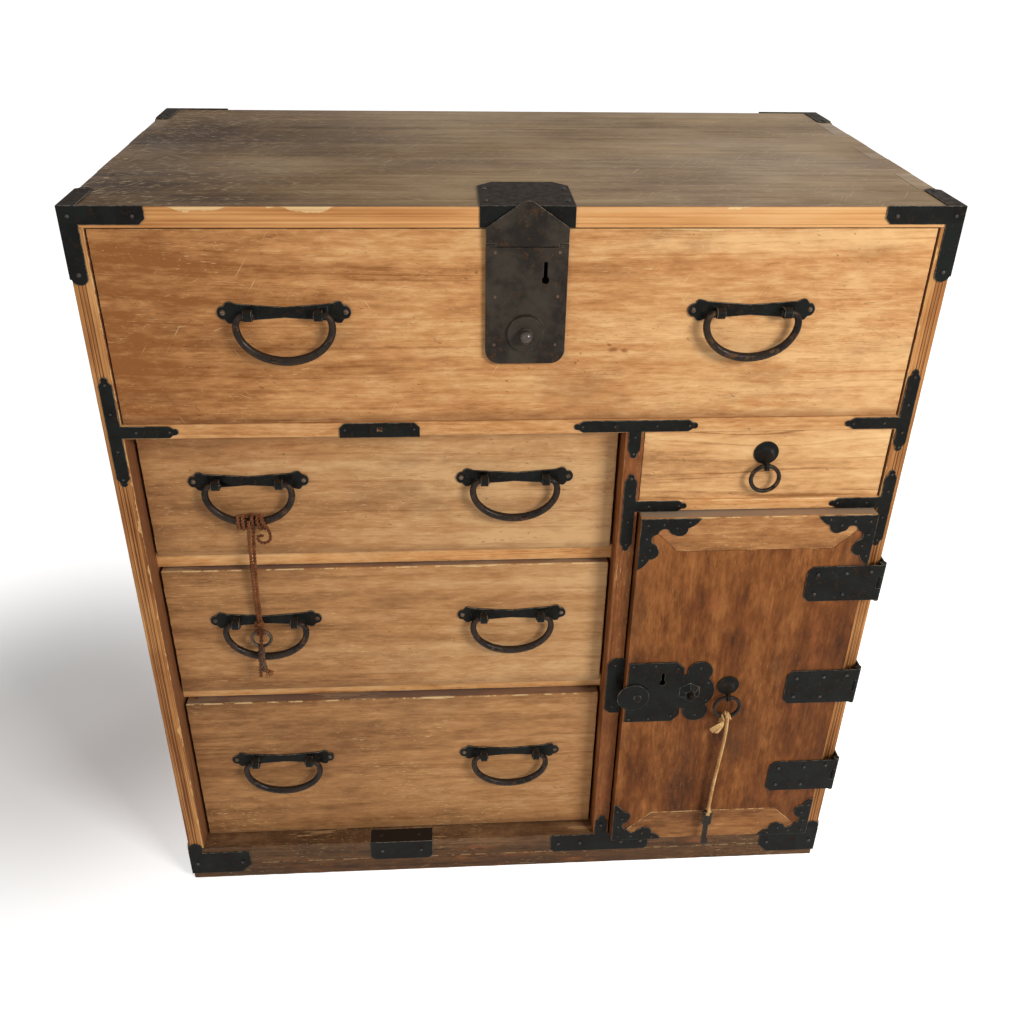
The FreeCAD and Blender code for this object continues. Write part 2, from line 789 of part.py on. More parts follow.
def build_door():
    boards = door_boards()
    plate_left = door_x0 + lock_plate_inset
    plate_back = door_face
    plate_front = door_face - plate_thickness
    mid = lock_middle
    body_x = plate_left + lock_body_reach
    knob_x = plate_left + lock_knob_reach
    outline = [
        (plate_left, mid - lock_plate_half_height), (plate_left, mid + lock_plate_half_height),
        (plate_left + lock_plate_length, mid + lock_plate_half_height),
        (
            plate_left + lock_plate_length + lock_plate_chamfer,
            mid + lock_plate_half_height - lock_plate_chamfer,
        ),
        (
            plate_left + lock_plate_length + lock_plate_chamfer,
            mid - lock_plate_half_height + lock_plate_chamfer,
        ),
        (plate_left + lock_plate_length, mid - lock_plate_half_height),
    ]
    plate = [
        prism(outline, "y", plate_back, plate_front),
        box(
            plate_left, body_x, plate_front, plate_back,
            mid - lock_neck_half_height, mid + lock_neck_half_height,
        ),
        rod(lock_body_radius, body_x, plate_back, mid, toward_front, plate_thickness),
    ]
    lobe_x = plate_left + lock_lobe_reach
    for lobe_z in (mid - lock_lobe_rise, mid + lock_lobe_rise):
        plate.append(rod(lock_lobe_radius, lobe_x, plate_back, lobe_z, toward_front, plate_thickness))
    boss_base = boss_outline(knob_x, plate_front, mid, boss_radius)
    boss_top = boss_outline(knob_x, plate_front - boss_height, mid, boss_radius * boss_top_share)
    plate.append(Part.makeLoft([boss_base, boss_top], True, True))
    plate = join(plate)
    bore_length = boss_height + plate_thickness + door_thickness + back_plate_thickness
    shaft_bore = rod(
        shaft_radius + running_gap, knob_x, plate_front - boss_height, mid, toward_back, bore_length,
    )
    key_x = plate_left + door_keyhole_reach
    key_z = mid + door_keyhole_rise
    disc_x = plate_left + disc_reach
    disc_z = mid - disc_drop
    pivot_x = disc_x + disc_pivot_offset
    pivot_hole = rod(
        disc_pivot_radius + running_gap, pivot_x, plate_front, disc_z,
        toward_back, plate_thickness + disc_pin_depth,
    )
    key_cut = keyhole(key_x, key_z, plate_front, door_rear, door_keyhole_height)
    plate = plate.cut([shaft_bore, pivot_hole] + key_cut)

    bolt_y0 = door_face + bolt_inset
    bolt_y1 = bolt_y0 + bolt_thickness
    throw = 2 * door_bolt_travel / math.pi
    channel = box(
        door_x0, knob_x, bolt_y0 - bolt_gap, door_rear,
        mid - bolt_height / 2 - bolt_gap, mid + bolt_height / 2 + bolt_gap,
    )
    pocket = rod(
        throw + cam_tip_radius + mortise_gap, knob_x, bolt_y0 - bolt_gap, mid,
        toward_back, door_rear - bolt_y0 + bolt_gap,
    )
    ring_x = plate_left + door_ring_reach
    ring_z = mid - door_ring_drop
    holes = [channel, pocket, shaft_bore, pivot_hole] + key_cut
    holes.append(ring_shank_hole(ring_x, ring_z, door_face))
    boards = [board.cut(holes) for board in boards]
    back_plate_half = bolt_height / 2 + back_plate_margin
    back_plate = box(
        plate_left, knob_x + throw + cam_tip_radius + back_plate_margin,
        door_rear, door_rear + back_plate_thickness, mid - back_plate_half, mid + back_plate_half,
    )
    bolt_end = knob_x - hub_radius - mortise_gap / 2
    bolt_start = bolt_end - bolt_length
    bolt = box(bolt_start, bolt_end, bolt_y0, bolt_y1, mid - bolt_height / 2, mid + bolt_height / 2)
    turner = knob(
        knob_x, mid, plate_front, boss_height, bolt_y0, throw, 0, -1, bolt_thickness, knob_radius,
    )
    disc_back = plate_front - disc_gap
    disc = rod(disc_radius, disc_x, disc_back, disc_z, toward_front, plate_thickness)
    pivot = rod(
        disc_pivot_radius, pivot_x, disc_back - plate_thickness, disc_z, toward_back,
        2 * plate_thickness + disc_pin_depth,
    )
    rivet_y = disc_back - plate_thickness
    rivet = rod(disc_pivot_radius * 2, pivot_x, rivet_y, disc_z, toward_front, nail_height)

    door_leaves, case_leaves, pins, hinge_nails, side_nails = hinge_parts()
    lock_nails = []
    for a, b in lock_nail_shares:
        nail_x = plate_left + lock_plate_length * a
        nail_z = mid + lock_plate_half_height * b
        lock_nails.append(nail(nail_x, plate_front, nail_z, size=nail_small_share))
    add("door_boards", boards)
    add("door_battens", door_battens())
    add("door_corner_irons", corner_irons())
    add("door_nails", corner_nails() + hinge_nails + lock_nails)
    add("hinge_door_leaves", door_leaves)
    add("hinge_case_leaves", case_leaves)
    add("hinge_pins", pins)
    add("door_lock_plate", [plate, back_plate])
    add("door_lock_knob", turner)
    add("door_bolt", bolt)
    add("door_turn_disc", join([disc, pivot, rivet]))
    add("door_ring_mount", ring_mount(ring_x, ring_z, door_face))
    add("door_ring", ring(ring_x, ring_z, door_face))
    return side_nails, {
        "ring": (ring_x, ring_z), "knob": (knob_x, mid), "disc": (pivot_x, disc_z),
        "bolt": (bolt_start, bolt_end, bolt_y0, bolt_y1), "mid": mid,
    }


# Lock of the top drawer
top_lock_x = 4.5
top_lock_width = 85.0
top_lock_foot = 70.0
top_lock_seam = 199.0
top_lock_corner = 15.0
top_lock_depth = 3.0
top_boss_radius = 21.0
top_boss_rise = 35.0
top_boss_height = 4.0
top_boss_share = 0.9
top_knob_radius = 7.5
top_keyhole_reach = 19.5
top_keyhole_rise = 92.0
top_keyhole_height = 19.5
top_bolt_width = 18.0
top_bolt_travel = 10.0
top_bolt_end_gap = 2.0
hasp_shoulder = 18.0
hasp_height = 45.0
hasp_peak_width = 15.0
hasp_peak_rise = 2.5
hasp_barrel_radius = 1.6
hasp_pin_radius = 0.8
hasp_end_knuckle = 10.0
hasp_thickness = 2.0
hasp_stand = 2.2
seam_gap = 2.4
guide_thickness = 2.5
guide_height = 8.0
guide_shares = (0.22, 0.78)
top_nail_shares = (
    (-0.39, 0.96), (0.39, 0.96), (-0.39, 0.59), (0.38, 0.59), (-0.39, 0.17), (0.37, 0.17),
)
corner_pull_share = 0.3


def build_top_lock():
    x0, x1, z0, z1, face = drawer_size("top_drawer")
    x = top_lock_x
    half = top_lock_width / 2
    foot = top_floor + top_lock_foot
    seam = top_floor + top_lock_seam
    plate_top = seam - seam_gap
    plate_front = front - top_lock_depth
    outline = [
        (x - half, plate_top), (x + half, plate_top), (x + half, foot + top_lock_corner),
        ((x + half - top_lock_corner * corner_pull_share, foot + top_lock_corner * corner_pull_share),
         (x + half - top_lock_corner, foot)),
        (x - half + top_lock_corner, foot),
        ((x - half + top_lock_corner * corner_pull_share, foot + top_lock_corner * corner_pull_share),
         (x - half, foot + top_lock_corner)),
    ]
    plate = prism(outline, "y", face, plate_front)
    axis_y = front - hasp_stand - hasp_thickness + hasp_barrel_radius
    ends = []
    for start in (x - half, x + half - hasp_end_knuckle):
        ends.append(rod(hasp_barrel_radius, start, axis_y, seam, toward_right, hasp_end_knuckle))
        ends.append(box(
            start, start + hasp_end_knuckle, axis_y, axis_y + hasp_barrel_radius, plate_top, seam,
        ))
    boss_z = foot + top_boss_rise
    boss = Part.makeCone(
        top_boss_radius, top_boss_radius * top_boss_share, top_boss_height,
        Vector(x, plate_front, boss_z), toward_front,
    )
    bore_radius = hasp_pin_radius + running_gap
    hinge_bore = rod(bore_radius, x - half, axis_y, seam, toward_right, top_lock_width)
    inside = face + drawer_front_thickness
    knob_bore = rod(
        shaft_radius + running_gap, x, plate_front - top_boss_height, boss_z, toward_back,
        inside - plate_front + top_boss_height,
    )
    key_z = foot + top_keyhole_rise
    key_cut = keyhole(x + top_keyhole_reach, key_z, plate_front, inside, top_keyhole_height)
    plate = join([plate, boss] + ends).cut([hinge_bore, knob_bore] + key_cut)

    throw = 2 * top_bolt_travel / math.pi
    bolt_y0 = inside + bolt_gap
    bolt_y1 = bolt_y0 + bolt_thickness
    bolt_low = boss_z + hub_radius + mortise_gap
    bolt_high = top_ceiling - top_bolt_end_gap
    bolt_half = top_bolt_width / 2
    bolt = box(x - bolt_half, x + bolt_half, bolt_y0, bolt_y1, bolt_low, bolt_high)
    turner = knob(
        x, boss_z, plate_front, top_boss_height, bolt_y0, throw, 1, 0, bolt_thickness, top_knob_radius,
    )
    guides = []
    for share in guide_shares:
        z = bolt_low + (z1 - bolt_low) * share - guide_height / 2
        reach = bolt_half + bolt_gap + guide_thickness
        inner_reach = bolt_half + bolt_gap
        rear = bolt_y1 + bolt_gap
        outer = box(x - reach, x + reach, inside, rear + guide_thickness, z, z + guide_height)
        hollow = box(x - inner_reach, x + inner_reach, inside, rear, z, z + guide_height)
        guides.append(outer.cut(hollow))
    nails = []
    plate_height = plate_top - foot
    for a, b in top_nail_shares:
        nail_x = x + top_lock_width * a
        nail_z = foot + plate_height * b
        nails.append(nail(nail_x, plate_front, nail_z, size=nail_small_share))

    hasp_back = front - hasp_stand
    hasp_front = hasp_back - hasp_thickness
    peak = hasp_peak_width / 2
    peak_foot = seam + hasp_height - hasp_peak_rise
    outline = [
        (x - half, seam), (x - half, seam + hasp_shoulder), (x - peak, peak_foot),
        ((x, seam + hasp_height), (x + peak, peak_foot)),
        (x + half, seam + hasp_shoulder), (x + half, seam),
    ]
    flap = prism(outline, "y", hasp_back, hasp_front)
    for start in (x - half, x + half - hasp_end_knuckle):
        flap = flap.cut(box(
            start - knuckle_gap, start + hasp_end_knuckle + knuckle_gap,
            hasp_front - overrun, hasp_back + overrun,
            seam - overrun, seam + hasp_barrel_radius + knuckle_gap * 2,
        ))
    middle = rod(
        hasp_barrel_radius, x - half + hasp_end_knuckle + knuckle_gap, axis_y, seam, toward_right,
        top_lock_width - 2 * hasp_end_knuckle - 2 * knuckle_gap,
    )
    pin = rod(hasp_pin_radius, x - half, axis_y, seam, toward_right, top_lock_width)
    hasp = join([flap, middle, pin])

    nodes["top_drawer_front"] = [nodes["top_drawer_front"][0].cut([knob_bore] + key_cut)]
    add("top_lock_plate", [plate] + guides + nails)
    add("top_lock_knob", turner)
    add("top_lock_bolt", bolt)
    add("top_lock_hasp", hasp)
    mortise = box(
        x - bolt_half - mortise_gap, x + bolt_half + mortise_gap,
        bolt_y0 - mortise_gap, bolt_y1 + mortise_gap, top_ceiling, top_ceiling + mortise_depth,
    )
    return mortise, {"knob": (x, boss_z), "hasp": (axis_y, seam)}


# Straps of the case
top_leg_length = 82.0
top_leg_height = 17.5
top_leg_drop = 79.0
top_leg_width = 17.0
top_tongue_length = 71.0
side_leg_width = 24.0
base_leg_length = 84.0
base_leg_low = 12.0
base_leg_high = 53.0
base_leg_top = 72.0
base_leg_width = 18.0
base_wrap_length = 62.0
chamfer_share = 0.35


def corner_strap():
    """Front right top corner: a bent L on the front, a tongue on the top and an L on the side."""
    out = half_width + strap_thickness
    t = strap_thickness
    chamfer = top_leg_height * chamfer_share
    foot = case_height - top_leg_drop
    face = prism([
        (half_width, case_height), (half_width - top_leg_length, case_height),
        (half_width - top_leg_length, case_height - top_leg_height + chamfer),
        (half_width - top_leg_length + chamfer, case_height - top_leg_height),
        (half_width - top_leg_width, case_height - top_leg_height),
        (half_width - top_leg_width, foot + chamfer),
        ((half_width - top_leg_width / 2, foot), (half_width, foot + chamfer)),
    ], "y", front, front - t)
    cap = box(half_width - top_leg_length, half_width, front - t, front, case_height, case_height + t)
    tongue_end = front + top_tongue_length
    tongue = prism([
        (half_width - top_leg_width, front), (half_width - top_leg_width, tongue_end - chamfer),
        (half_width - top_leg_width / 2, tongue_end), (half_width, tongue_end - chamfer),
        (half_width, front),
    ], "z", case_height, case_height + t)
    leg_low = case_height - top_leg_height
    side = prism([
        (front, case_height), (tongue_end, case_height), (tongue_end, leg_low + chamfer),
        (tongue_end - chamfer, leg_low), (front + side_leg_width, leg_low),
        (front + side_leg_width, foot + chamfer), (front + side_leg_width - chamfer, foot),
        (front, foot + chamfer),
    ], "x", half_width, out)
    edge_front = box(half_width, out, front - t, front, foot + chamfer, case_height + t)
    edge_top = box(half_width, out, front, tongue_end - chamfer, case_height, case_height + t)
    return join([face, cap, tongue, side, edge_front, edge_top])


def base_strap():
    """Front right bottom corner."""
    t = strap_thickness
    out = half_width + t
    chamfer = (base_leg_high - base_leg_low) * chamfer_share
    end = half_width - base_leg_length
    face = prism([
        (half_width, base_leg_low), (end + chamfer, base_leg_low), (end, base_leg_low + chamfer),
        (end, base_leg_high), (half_width - base_leg_width, base_leg_high),
        (half_width - base_leg_width, base_leg_top - chamfer),
        ((half_width - base_leg_width / 2, base_leg_top), (half_width, base_leg_top - chamfer)),
    ], "y", front, front - t)
    wrap = front + base_wrap_length
    side = prism([
        (front, base_leg_low), (wrap - chamfer, base_leg_low), (wrap, base_leg_low + chamfer),
        (wrap, base_leg_high), (front + base_leg_width, base_leg_high),
        (front + base_leg_width, base_leg_top - chamfer),
        ((front + base_leg_width / 2, base_leg_top), (front, base_leg_top - chamfer)),
    ], "x", half_width, out)
    edge = box(half_width, out, front - t, front, base_leg_low, base_leg_top - chamfer)
    return join([face, side, edge])


tee_width = 14.5
tee_reach = 69.0
side_strap_inset = 12.0
wide_tee_left = 70.0
wide_tee_right = 71.0
wide_tee_drop = 41.0
base_tee_left = 72.0
base_tee_right = 71.0
base_tee_height = 33.0
base_tee_rise = 38.0
tee_up = 66.0
tee_down = 68.0
right_tee_down = 36.5
middle_tee_up = 44.0
middle_tee_down = 62.0
base_stem_share = 1.2
band_nail_shares = (0.08, 0.30, 0.72, 0.92)
strap_nail_share = 0.86
strap_nail_step_share = 0.52


def tee(x, z, up, down, left, right, width=tee_width):
    arms = []
    for length, turn in ((right, 0), (up, 90), (left, 180), (down, 270)):
        if length:
            arms.append(strap(x, z, length, width, turn, front))
    return join(arms)


def tee_nails(x, z, up, down, left, right, count=2):
    nails = []
    for length, a, b in ((right, 1, 0), (up, 0, 1), (left, -1, 0), (down, 0, -1)):
        for i in range(count if length else 0):
            along = length * (strap_nail_share - i * strap_nail_step_share)
            nail_x = x + a * along
            nail_z = z + b * along
            nails.append(nail(nail_x, front - strap_thickness, nail_z, size=nail_small_share))
    return nails


def build_straps(side_nails):
    upper_level = (upper_ceiling + top_floor) / 2
    small_level = (door_ceiling + small_floor) / 2
    divider_x = (divider_left + divider_right) / 2
    side_x = half_width - side_strap_inset
    tees = [
        (-side_x, upper_level, tee_up, tee_down, 0, tee_reach),
        (side_x, upper_level, tee_up, right_tee_down, tee_reach, 0),
        (side_x, small_level, middle_tee_up, middle_tee_down, tee_reach, 0),
        (divider_x, small_level, middle_tee_up, middle_tee_down, 0, tee_reach),
        (divider_x, upper_level, 0, wide_tee_drop, wide_tee_left, wide_tee_right),
    ]
    straps = [tee(*values) for values in tees]
    nails = []
    for values in tees:
        nails += tee_nails(*values)
    band_left = divider_x - base_tee_left
    band_right = divider_x + base_tee_right
    band_low = sill_top - base_tee_height
    chamfer = tee_width * chamfer_share
    band = prism([
        (band_left, band_low + chamfer), (band_left, sill_top), (band_right, sill_top),
        (band_right, band_low + chamfer), (band_right - chamfer, band_low), (band_left + chamfer, band_low),
    ], "y", front, front - strap_thickness)
    stem_length = base_tee_rise + tee_width
    stem = strap(divider_x, sill_top - tee_width, stem_length, tee_width * base_stem_share, 90, front)
    straps.append(join([band, stem]))
    strap_front = front - strap_thickness
    for share in band_nail_shares:
        x = band_left + (band_right - band_left) * share
        nails.append(nail(x, strap_front, (sill_top + band_low) / 2))
    nails.append(nail(divider_x, strap_front, sill_top + base_tee_rise / 2))

    corner = corner_strap()
    corners = [corner, mirrored(corner), mirrored_back(corner), mirrored_back(mirrored(corner))]
    base = base_strap()
    corners += [base, mirrored(base)]
    strap_top = case_height + strap_thickness
    level = case_height - top_leg_height / 2
    base_level = (base_leg_low + base_leg_high) / 2
    tongue_nail_y = front + top_tongue_length * strap_nail_share
    for side in (-1, 1):
        edge = side * (half_width - top_leg_width / 2)
        nails.append(nail(side * (half_width - top_leg_length * strap_nail_share), strap_front, level))
        nails.append(nail(edge, strap_front, level))
        nails.append(nail(edge, strap_front, case_height - top_leg_drop * strap_nail_share))
        nails.append(nail(edge, tongue_nail_y, strap_top, upward))
        nails.append(nail(edge, -tongue_nail_y, strap_top, upward))
        leg_nail_x = side * (half_width - base_leg_length * strap_nail_share)
        nails.append(nail(leg_nail_x, strap_front, base_level))
        nails.append(nail(side * (half_width - base_leg_width / 2), strap_front, base_level))
    add("corner_straps", corners)
    add("tee_straps", straps)
    return nails + side_nails


# Plates of the vertical bar that once locked the three drawers
bar_plate_width = 89.0
bar_plate_offset = 1.0
bar_plate_notch = 6.0
bar_lip = 22.0
bar_hole_width = 5.0
bar_hole_height = 4.0
bar_hole_depth = 12.0
socket_drop = 35.0
socket_round = 9.0
socket_lip = 23.0
socket_nail_share = 0.62


def build_bar_plates(boards):
    """The plate on the upper rail turns under it; the one at the foot is let into the sill."""
    x = (-inner_x + divider_left) / 2 + bar_plate_offset
    half = bar_plate_width / 2
    t = strap_thickness
    notch = bar_plate_notch
    lip_low = upper_ceiling - t
    upper = prism([
        (x - half, lip_low), (x - half, top_floor - notch),
        (x - half + notch / 2, top_floor - notch / 2), (x - half + notch, top_floor),
        (x + half - notch, top_floor), (x + half - notch / 2, top_floor - notch / 2),
        (x + half, top_floor - notch), (x + half, lip_low),
    ], "y", front, front - t)
    lip = box(x - half, x + half, front, front + bar_lip, lip_low, upper_ceiling)
    level = (upper_ceiling + top_floor) / 2
    hole = box(
        x - bar_hole_width / 2, x + bar_hole_width / 2, front - t, front + bar_hole_depth,
        level - bar_hole_height / 2, level + bar_hole_height / 2,
    )
    upper = join([upper, lip]).cut(hole)
    low = sill_top - socket_drop
    near = socket_round * corner_pull_share
    lower = prism([
        (x - half, sill_top), (x - half, low + socket_round),
        ((x - half + near, low + near), (x - half + socket_round, low)),
        (x + half - socket_round, low),
        ((x + half - near, low + near), (x + half, low + socket_round)), (x + half, sill_top),
    ], "y", front, front - t)
    sill = box(x - half, x + half, front, front + socket_lip, sill_top - t, sill_top)
    lower = join([lower, sill])
    boards["base_rail"] = boards["base_rail"].cut(sill)
    boards["upper_rail"] = boards["upper_rail"].cut(hole)
    nails = []
    for side in (-1, 1):
        nails.append(nail(x + side * half * strap_nail_share, front - t, level, size=nail_small_share))
        nails.append(nail(x + side * half * socket_nail_share, front - t, (sill_top + low) / 2))
    add("lock_bar_plates", [upper, lower])
    return nails

# Strap over the top edge that the top lock closes on, and the door's strike
top_strike_width = 97.0
top_strike_reach = 95.0
top_strike_drop = 20.5
top_strike_clip = 16.0
strike_height = 92.0
strike_wrap = 13.0
strike_inset = 1.0
strike_chamfer = 7.0
strike_nail_shares = (0.12, 0.88)


def build_strikes(door_places, boards):
    t = strap_thickness
    x = top_lock_x
    half = top_strike_width / 2
    end = front + top_strike_reach
    top = prism([
        (x - half, front - t), (x - half, end - top_strike_clip), (x - half + top_strike_clip, end),
        (x + half - top_strike_clip, end), (x + half, end - top_strike_clip), (x + half, front - t),
    ], "z", case_height, case_height + t)
    face = box(x - half, x + half, front - t, front, case_height - top_strike_drop, case_height)
    top_strike = join([top, face])

    mid = door_places["mid"]
    bolt_x0, bolt_x1, bolt_y0, bolt_y1 = door_places["bolt"]
    left = divider_left + strike_inset
    low, high = mid - strike_height / 2, mid + strike_height / 2
    plate = prism([
        (left, low + strike_chamfer), (left, high - strike_chamfer), (left + strike_chamfer, high),
        (divider_right, high), (divider_right, low), (left + strike_chamfer, low),
    ], "y", front, front - t)
    wrap = box(divider_right, divider_right + t, front - t, front + strike_wrap, low, high)
    slot = box(
        divider_right - mortise_depth, divider_right + t, bolt_y0 - mortise_gap, bolt_y1 + mortise_gap,
        mid - bolt_height / 2 - mortise_gap, mid + bolt_height / 2 + mortise_gap,
    )
    strike = join([plate, wrap]).cut(slot)
    boards["divider"] = boards["divider"].cut(slot)
    nails = []
    strike_x = (left + divider_right) / 2
    for share in strike_nail_shares:
        nails.append(nail(strike_x, front - t, low + strike_height * share, size=nail_small_share))
    for side in (-1, 1):
        nail_x = x + side * half * strap_nail_share
        nails.append(nail(nail_x, end - top_strike_clip * 2, case_height + t, upward))
        nails.append(nail(nail_x, front + top_strike_clip, case_height + t, upward))
    add("lock_strikes", [top_strike, strike])
    return nails


# Cords: a tie on the upper left handle with an iron ring on it, and the key's cord on the door ring
cord_diameter = 5.0
cord_bend_share = 0.45
tie_route = (
    (-304.0, -242.6, 584.0), (-305.0, -242.6, 602.6), (-307.0, -226.4, 602.6), (-309.0, -226.4, 584.0),
    (-311.0, -231.0, 566.0), (-313.0, -234.0, 535.0), (-315.0, -233.0, 505.0), (-316.2, -229.6, 474.0),
    (-316.5, -227.4, 442.0), (-317.5, -245.0, 408.0), (-321.0, -245.4, 388.0), (-322.0, -245.0, 370.0),
)
key_route = (
    (277.0, -268.0, 290.0), (280.0, -267.9, 309.2), (282.0, -279.1, 309.2), (283.0, -279.0, 290.0),
    (283.0, -277.5, 262.0), (281.0, -276.5, 225.0), (278.5, -276.3, 185.0), (277.3, -276.5, 150.0),
    (277.0, -276.5, 131.0),
)
cord_ring_middle = (-316.5, -236.7, 424.0)
cord_ring_radius = 11.8
cord_ring_wire = 2.0
key_length = 65.0
key_thickness = 4.0
key_bow_width = 13.0
key_tip_width = 6.5
key_bow_share = 0.42
key_eye_radius = 2.4
key_eye_drop = 6.0
key_bit_length = 2.5
key_bit_height = 8.0
corner_round_share = 0.86


def cord(name, route):
    """A tube along straight runs joined by tangent arcs."""
    points = [Vector(*point) for point in route]
    edges = []
    radii = []
    length = 0.0
    here = points[0]
    for before, corner, after in zip(points, points[1:], points[2:]):
        inward = (corner - before).normalize()
        outward = (after - corner).normalize()
        reach = cord_bend_share * min((corner - before).Length, (after - corner).Length)
        turn = inward.getAngle(outward)
        radius = reach / math.tan(turn / 2)
        start = corner - inward * reach
        end = corner + outward * reach
        sag = radius / math.cos(turn / 2) - radius
        middle = corner + (outward - inward).normalize() * sag
        edges.append(Part.LineSegment(here, start).toShape())
        edges.append(Part.Arc(start, middle, end).toShape())
        length += (start - here).Length + radius * turn
        radii.append(round(radius, 1))
        here = end
    edges.append(Part.LineSegment(here, points[-1]).toShape())
    length += (points[-1] - here).Length
    first = Part.makeCircle(cord_diameter / 2, points[0], points[1] - points[0])
    tube = Part.Wire(edges).makePipeShell([Part.Wire([first])], True, False)
    section = math.pi * (cord_diameter / 2) ** 2
    volume_share = round(tube.Volume / (section * length), 4)
    print(name, "length", round(length, 1), "radii", radii, "volume share", volume_share)
    return tube


def door_key():
    """A flat key with an eyed bow at the top, narrowing to its bit."""
    x, y, cord_end = key_route[-1]
    top = cord_end - slack
    y0, y1 = y - key_thickness / 2, y + key_thickness / 2
    bow = key_bow_width / 2
    tip = key_tip_width / 2
    shoulder = top - key_length * key_bow_share
    foot = top - key_length
    near_top = top - bow * (1 - corner_round_share)
    outline = [
        (x - bow / 2, top), (x + bow / 2, top),
        ((x + bow * corner_round_share, near_top), (x + bow, top - bow)),
        (x + bow, shoulder + tip), (x + tip, shoulder), (x + tip, foot),
        (x - tip, foot), (x - tip, shoulder), (x - bow, shoulder + tip), (x - bow, top - bow),
        ((x - bow * corner_round_share, near_top), (x - bow / 2, top)),
    ]
    body = prism(outline, "y", y0, y1)
    eye = rod(key_eye_radius, x, y0, top - key_eye_drop, toward_back, key_thickness)
    bit = box(x + tip, x + tip + key_bit_length, y0, y1, foot, foot + key_bit_height)
    return join([body.cut(eye), bit])


def build_cords():
    add("tie_cord", cord("tie_cord", tie_route))
    ring_middle = Vector(*cord_ring_middle)
    add("cord_ring", Part.makeTorus(cord_ring_radius, cord_ring_wire, ring_middle, toward_front))
    add("key_cord", cord("key_cord", key_route))
    add("door_key", door_key())


boards = build_case()
build_drawers()
build_small_ring()
side_nails, door_places = build_door()
top_mortise, top_places = build_top_lock()
case_nails = build_straps(side_nails)
case_nails += build_bar_plates(boards)
case_nails += build_strikes(door_places, boards)
build_cords()
add("top_board", boards["top"].cut(top_mortise))
add("base_board", boards["base"])
add("left_side", boards["left"])
add("right_side", boards["right"])
add("centre_divider", boards["divider"])
add("upper_rail", boards["upper_rail"])
add("base_rail", boards["base_rail"])
add("inner_rails", boards["rails"])
add("dust_boards", boards["shelves"])
add("back_planks", back_planks())
add("case_nails", case_nails)

os.makedirs("parts", exist_ok=True)
for name, solids in nodes.items():
    pieces = []
    for shape in solids:
        pieces += shape.Solids
    whole = Part.Compound(pieces) if len(pieces) > 1 else pieces[0]
    if not whole.isValid():
        print("not valid:", name)
    whole.exportStep("parts/" + name + ".step")
solid_count = sum(len(shape.Solids) for solids in nodes.values() for shape in solids)
print(len(nodes), "nodes,", solid_count, "solids")
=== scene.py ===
import json
import math

import bmesh
import bpy
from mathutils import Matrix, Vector, noise

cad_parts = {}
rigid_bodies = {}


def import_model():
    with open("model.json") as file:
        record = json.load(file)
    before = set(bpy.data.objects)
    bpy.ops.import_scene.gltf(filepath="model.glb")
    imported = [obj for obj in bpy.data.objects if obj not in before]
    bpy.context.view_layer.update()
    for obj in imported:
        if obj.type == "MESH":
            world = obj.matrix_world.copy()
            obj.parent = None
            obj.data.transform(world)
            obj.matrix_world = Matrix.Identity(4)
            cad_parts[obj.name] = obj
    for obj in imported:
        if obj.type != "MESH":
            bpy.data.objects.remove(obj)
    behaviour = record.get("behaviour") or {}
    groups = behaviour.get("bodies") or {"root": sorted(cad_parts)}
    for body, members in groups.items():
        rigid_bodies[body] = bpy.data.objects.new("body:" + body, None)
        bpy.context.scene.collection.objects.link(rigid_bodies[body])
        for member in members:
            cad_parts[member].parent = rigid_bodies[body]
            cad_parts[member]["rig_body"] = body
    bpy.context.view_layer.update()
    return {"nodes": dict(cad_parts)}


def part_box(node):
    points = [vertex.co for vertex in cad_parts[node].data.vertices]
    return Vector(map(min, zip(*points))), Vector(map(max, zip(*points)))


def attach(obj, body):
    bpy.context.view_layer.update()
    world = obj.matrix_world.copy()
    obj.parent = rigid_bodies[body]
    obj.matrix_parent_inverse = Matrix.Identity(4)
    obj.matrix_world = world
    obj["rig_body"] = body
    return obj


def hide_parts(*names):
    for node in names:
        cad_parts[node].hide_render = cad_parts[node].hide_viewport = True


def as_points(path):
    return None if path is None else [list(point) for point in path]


# A Japanese clothing chest of light wood with black iron fittings. Metres, in the frame's own axes.
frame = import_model()
mm = 0.001
white = (1, 1, 1, 1)


def placed(name, data):
    """A new object of the scene, at the origin."""
    thing = bpy.data.objects.new(name, data)
    bpy.context.scene.collection.objects.link(thing)
    return thing


# Camera: the photograph's viewing angle
camera_place = (-0.0842, -1.2976, 1.2469)
camera_turn = (58.812, -1.010, -3.678)
camera_lens = 36.85
camera_sensor = 36.0
camera_far = 50


def add_camera():
    data = bpy.data.cameras.new("camera")
    data.lens = camera_lens
    data.sensor_width = camera_sensor
    data.sensor_fit = "HORIZONTAL"
    data.clip_end = camera_far
    camera = placed("camera", data)
    camera.location = camera_place
    camera.rotation_euler = [math.radians(angle) for angle in camera_turn]
    bpy.context.scene.camera = camera


# Node trees: short calls that add and join nodes
def linear(red, green, blue):
    values = []
    for share in (red / 255, green / 255, blue / 255):
        values.append(share / 12.92 if share <= 0.04045 else ((share + 0.055) / 1.055) ** 2.4)
    return (*values, 1.0)


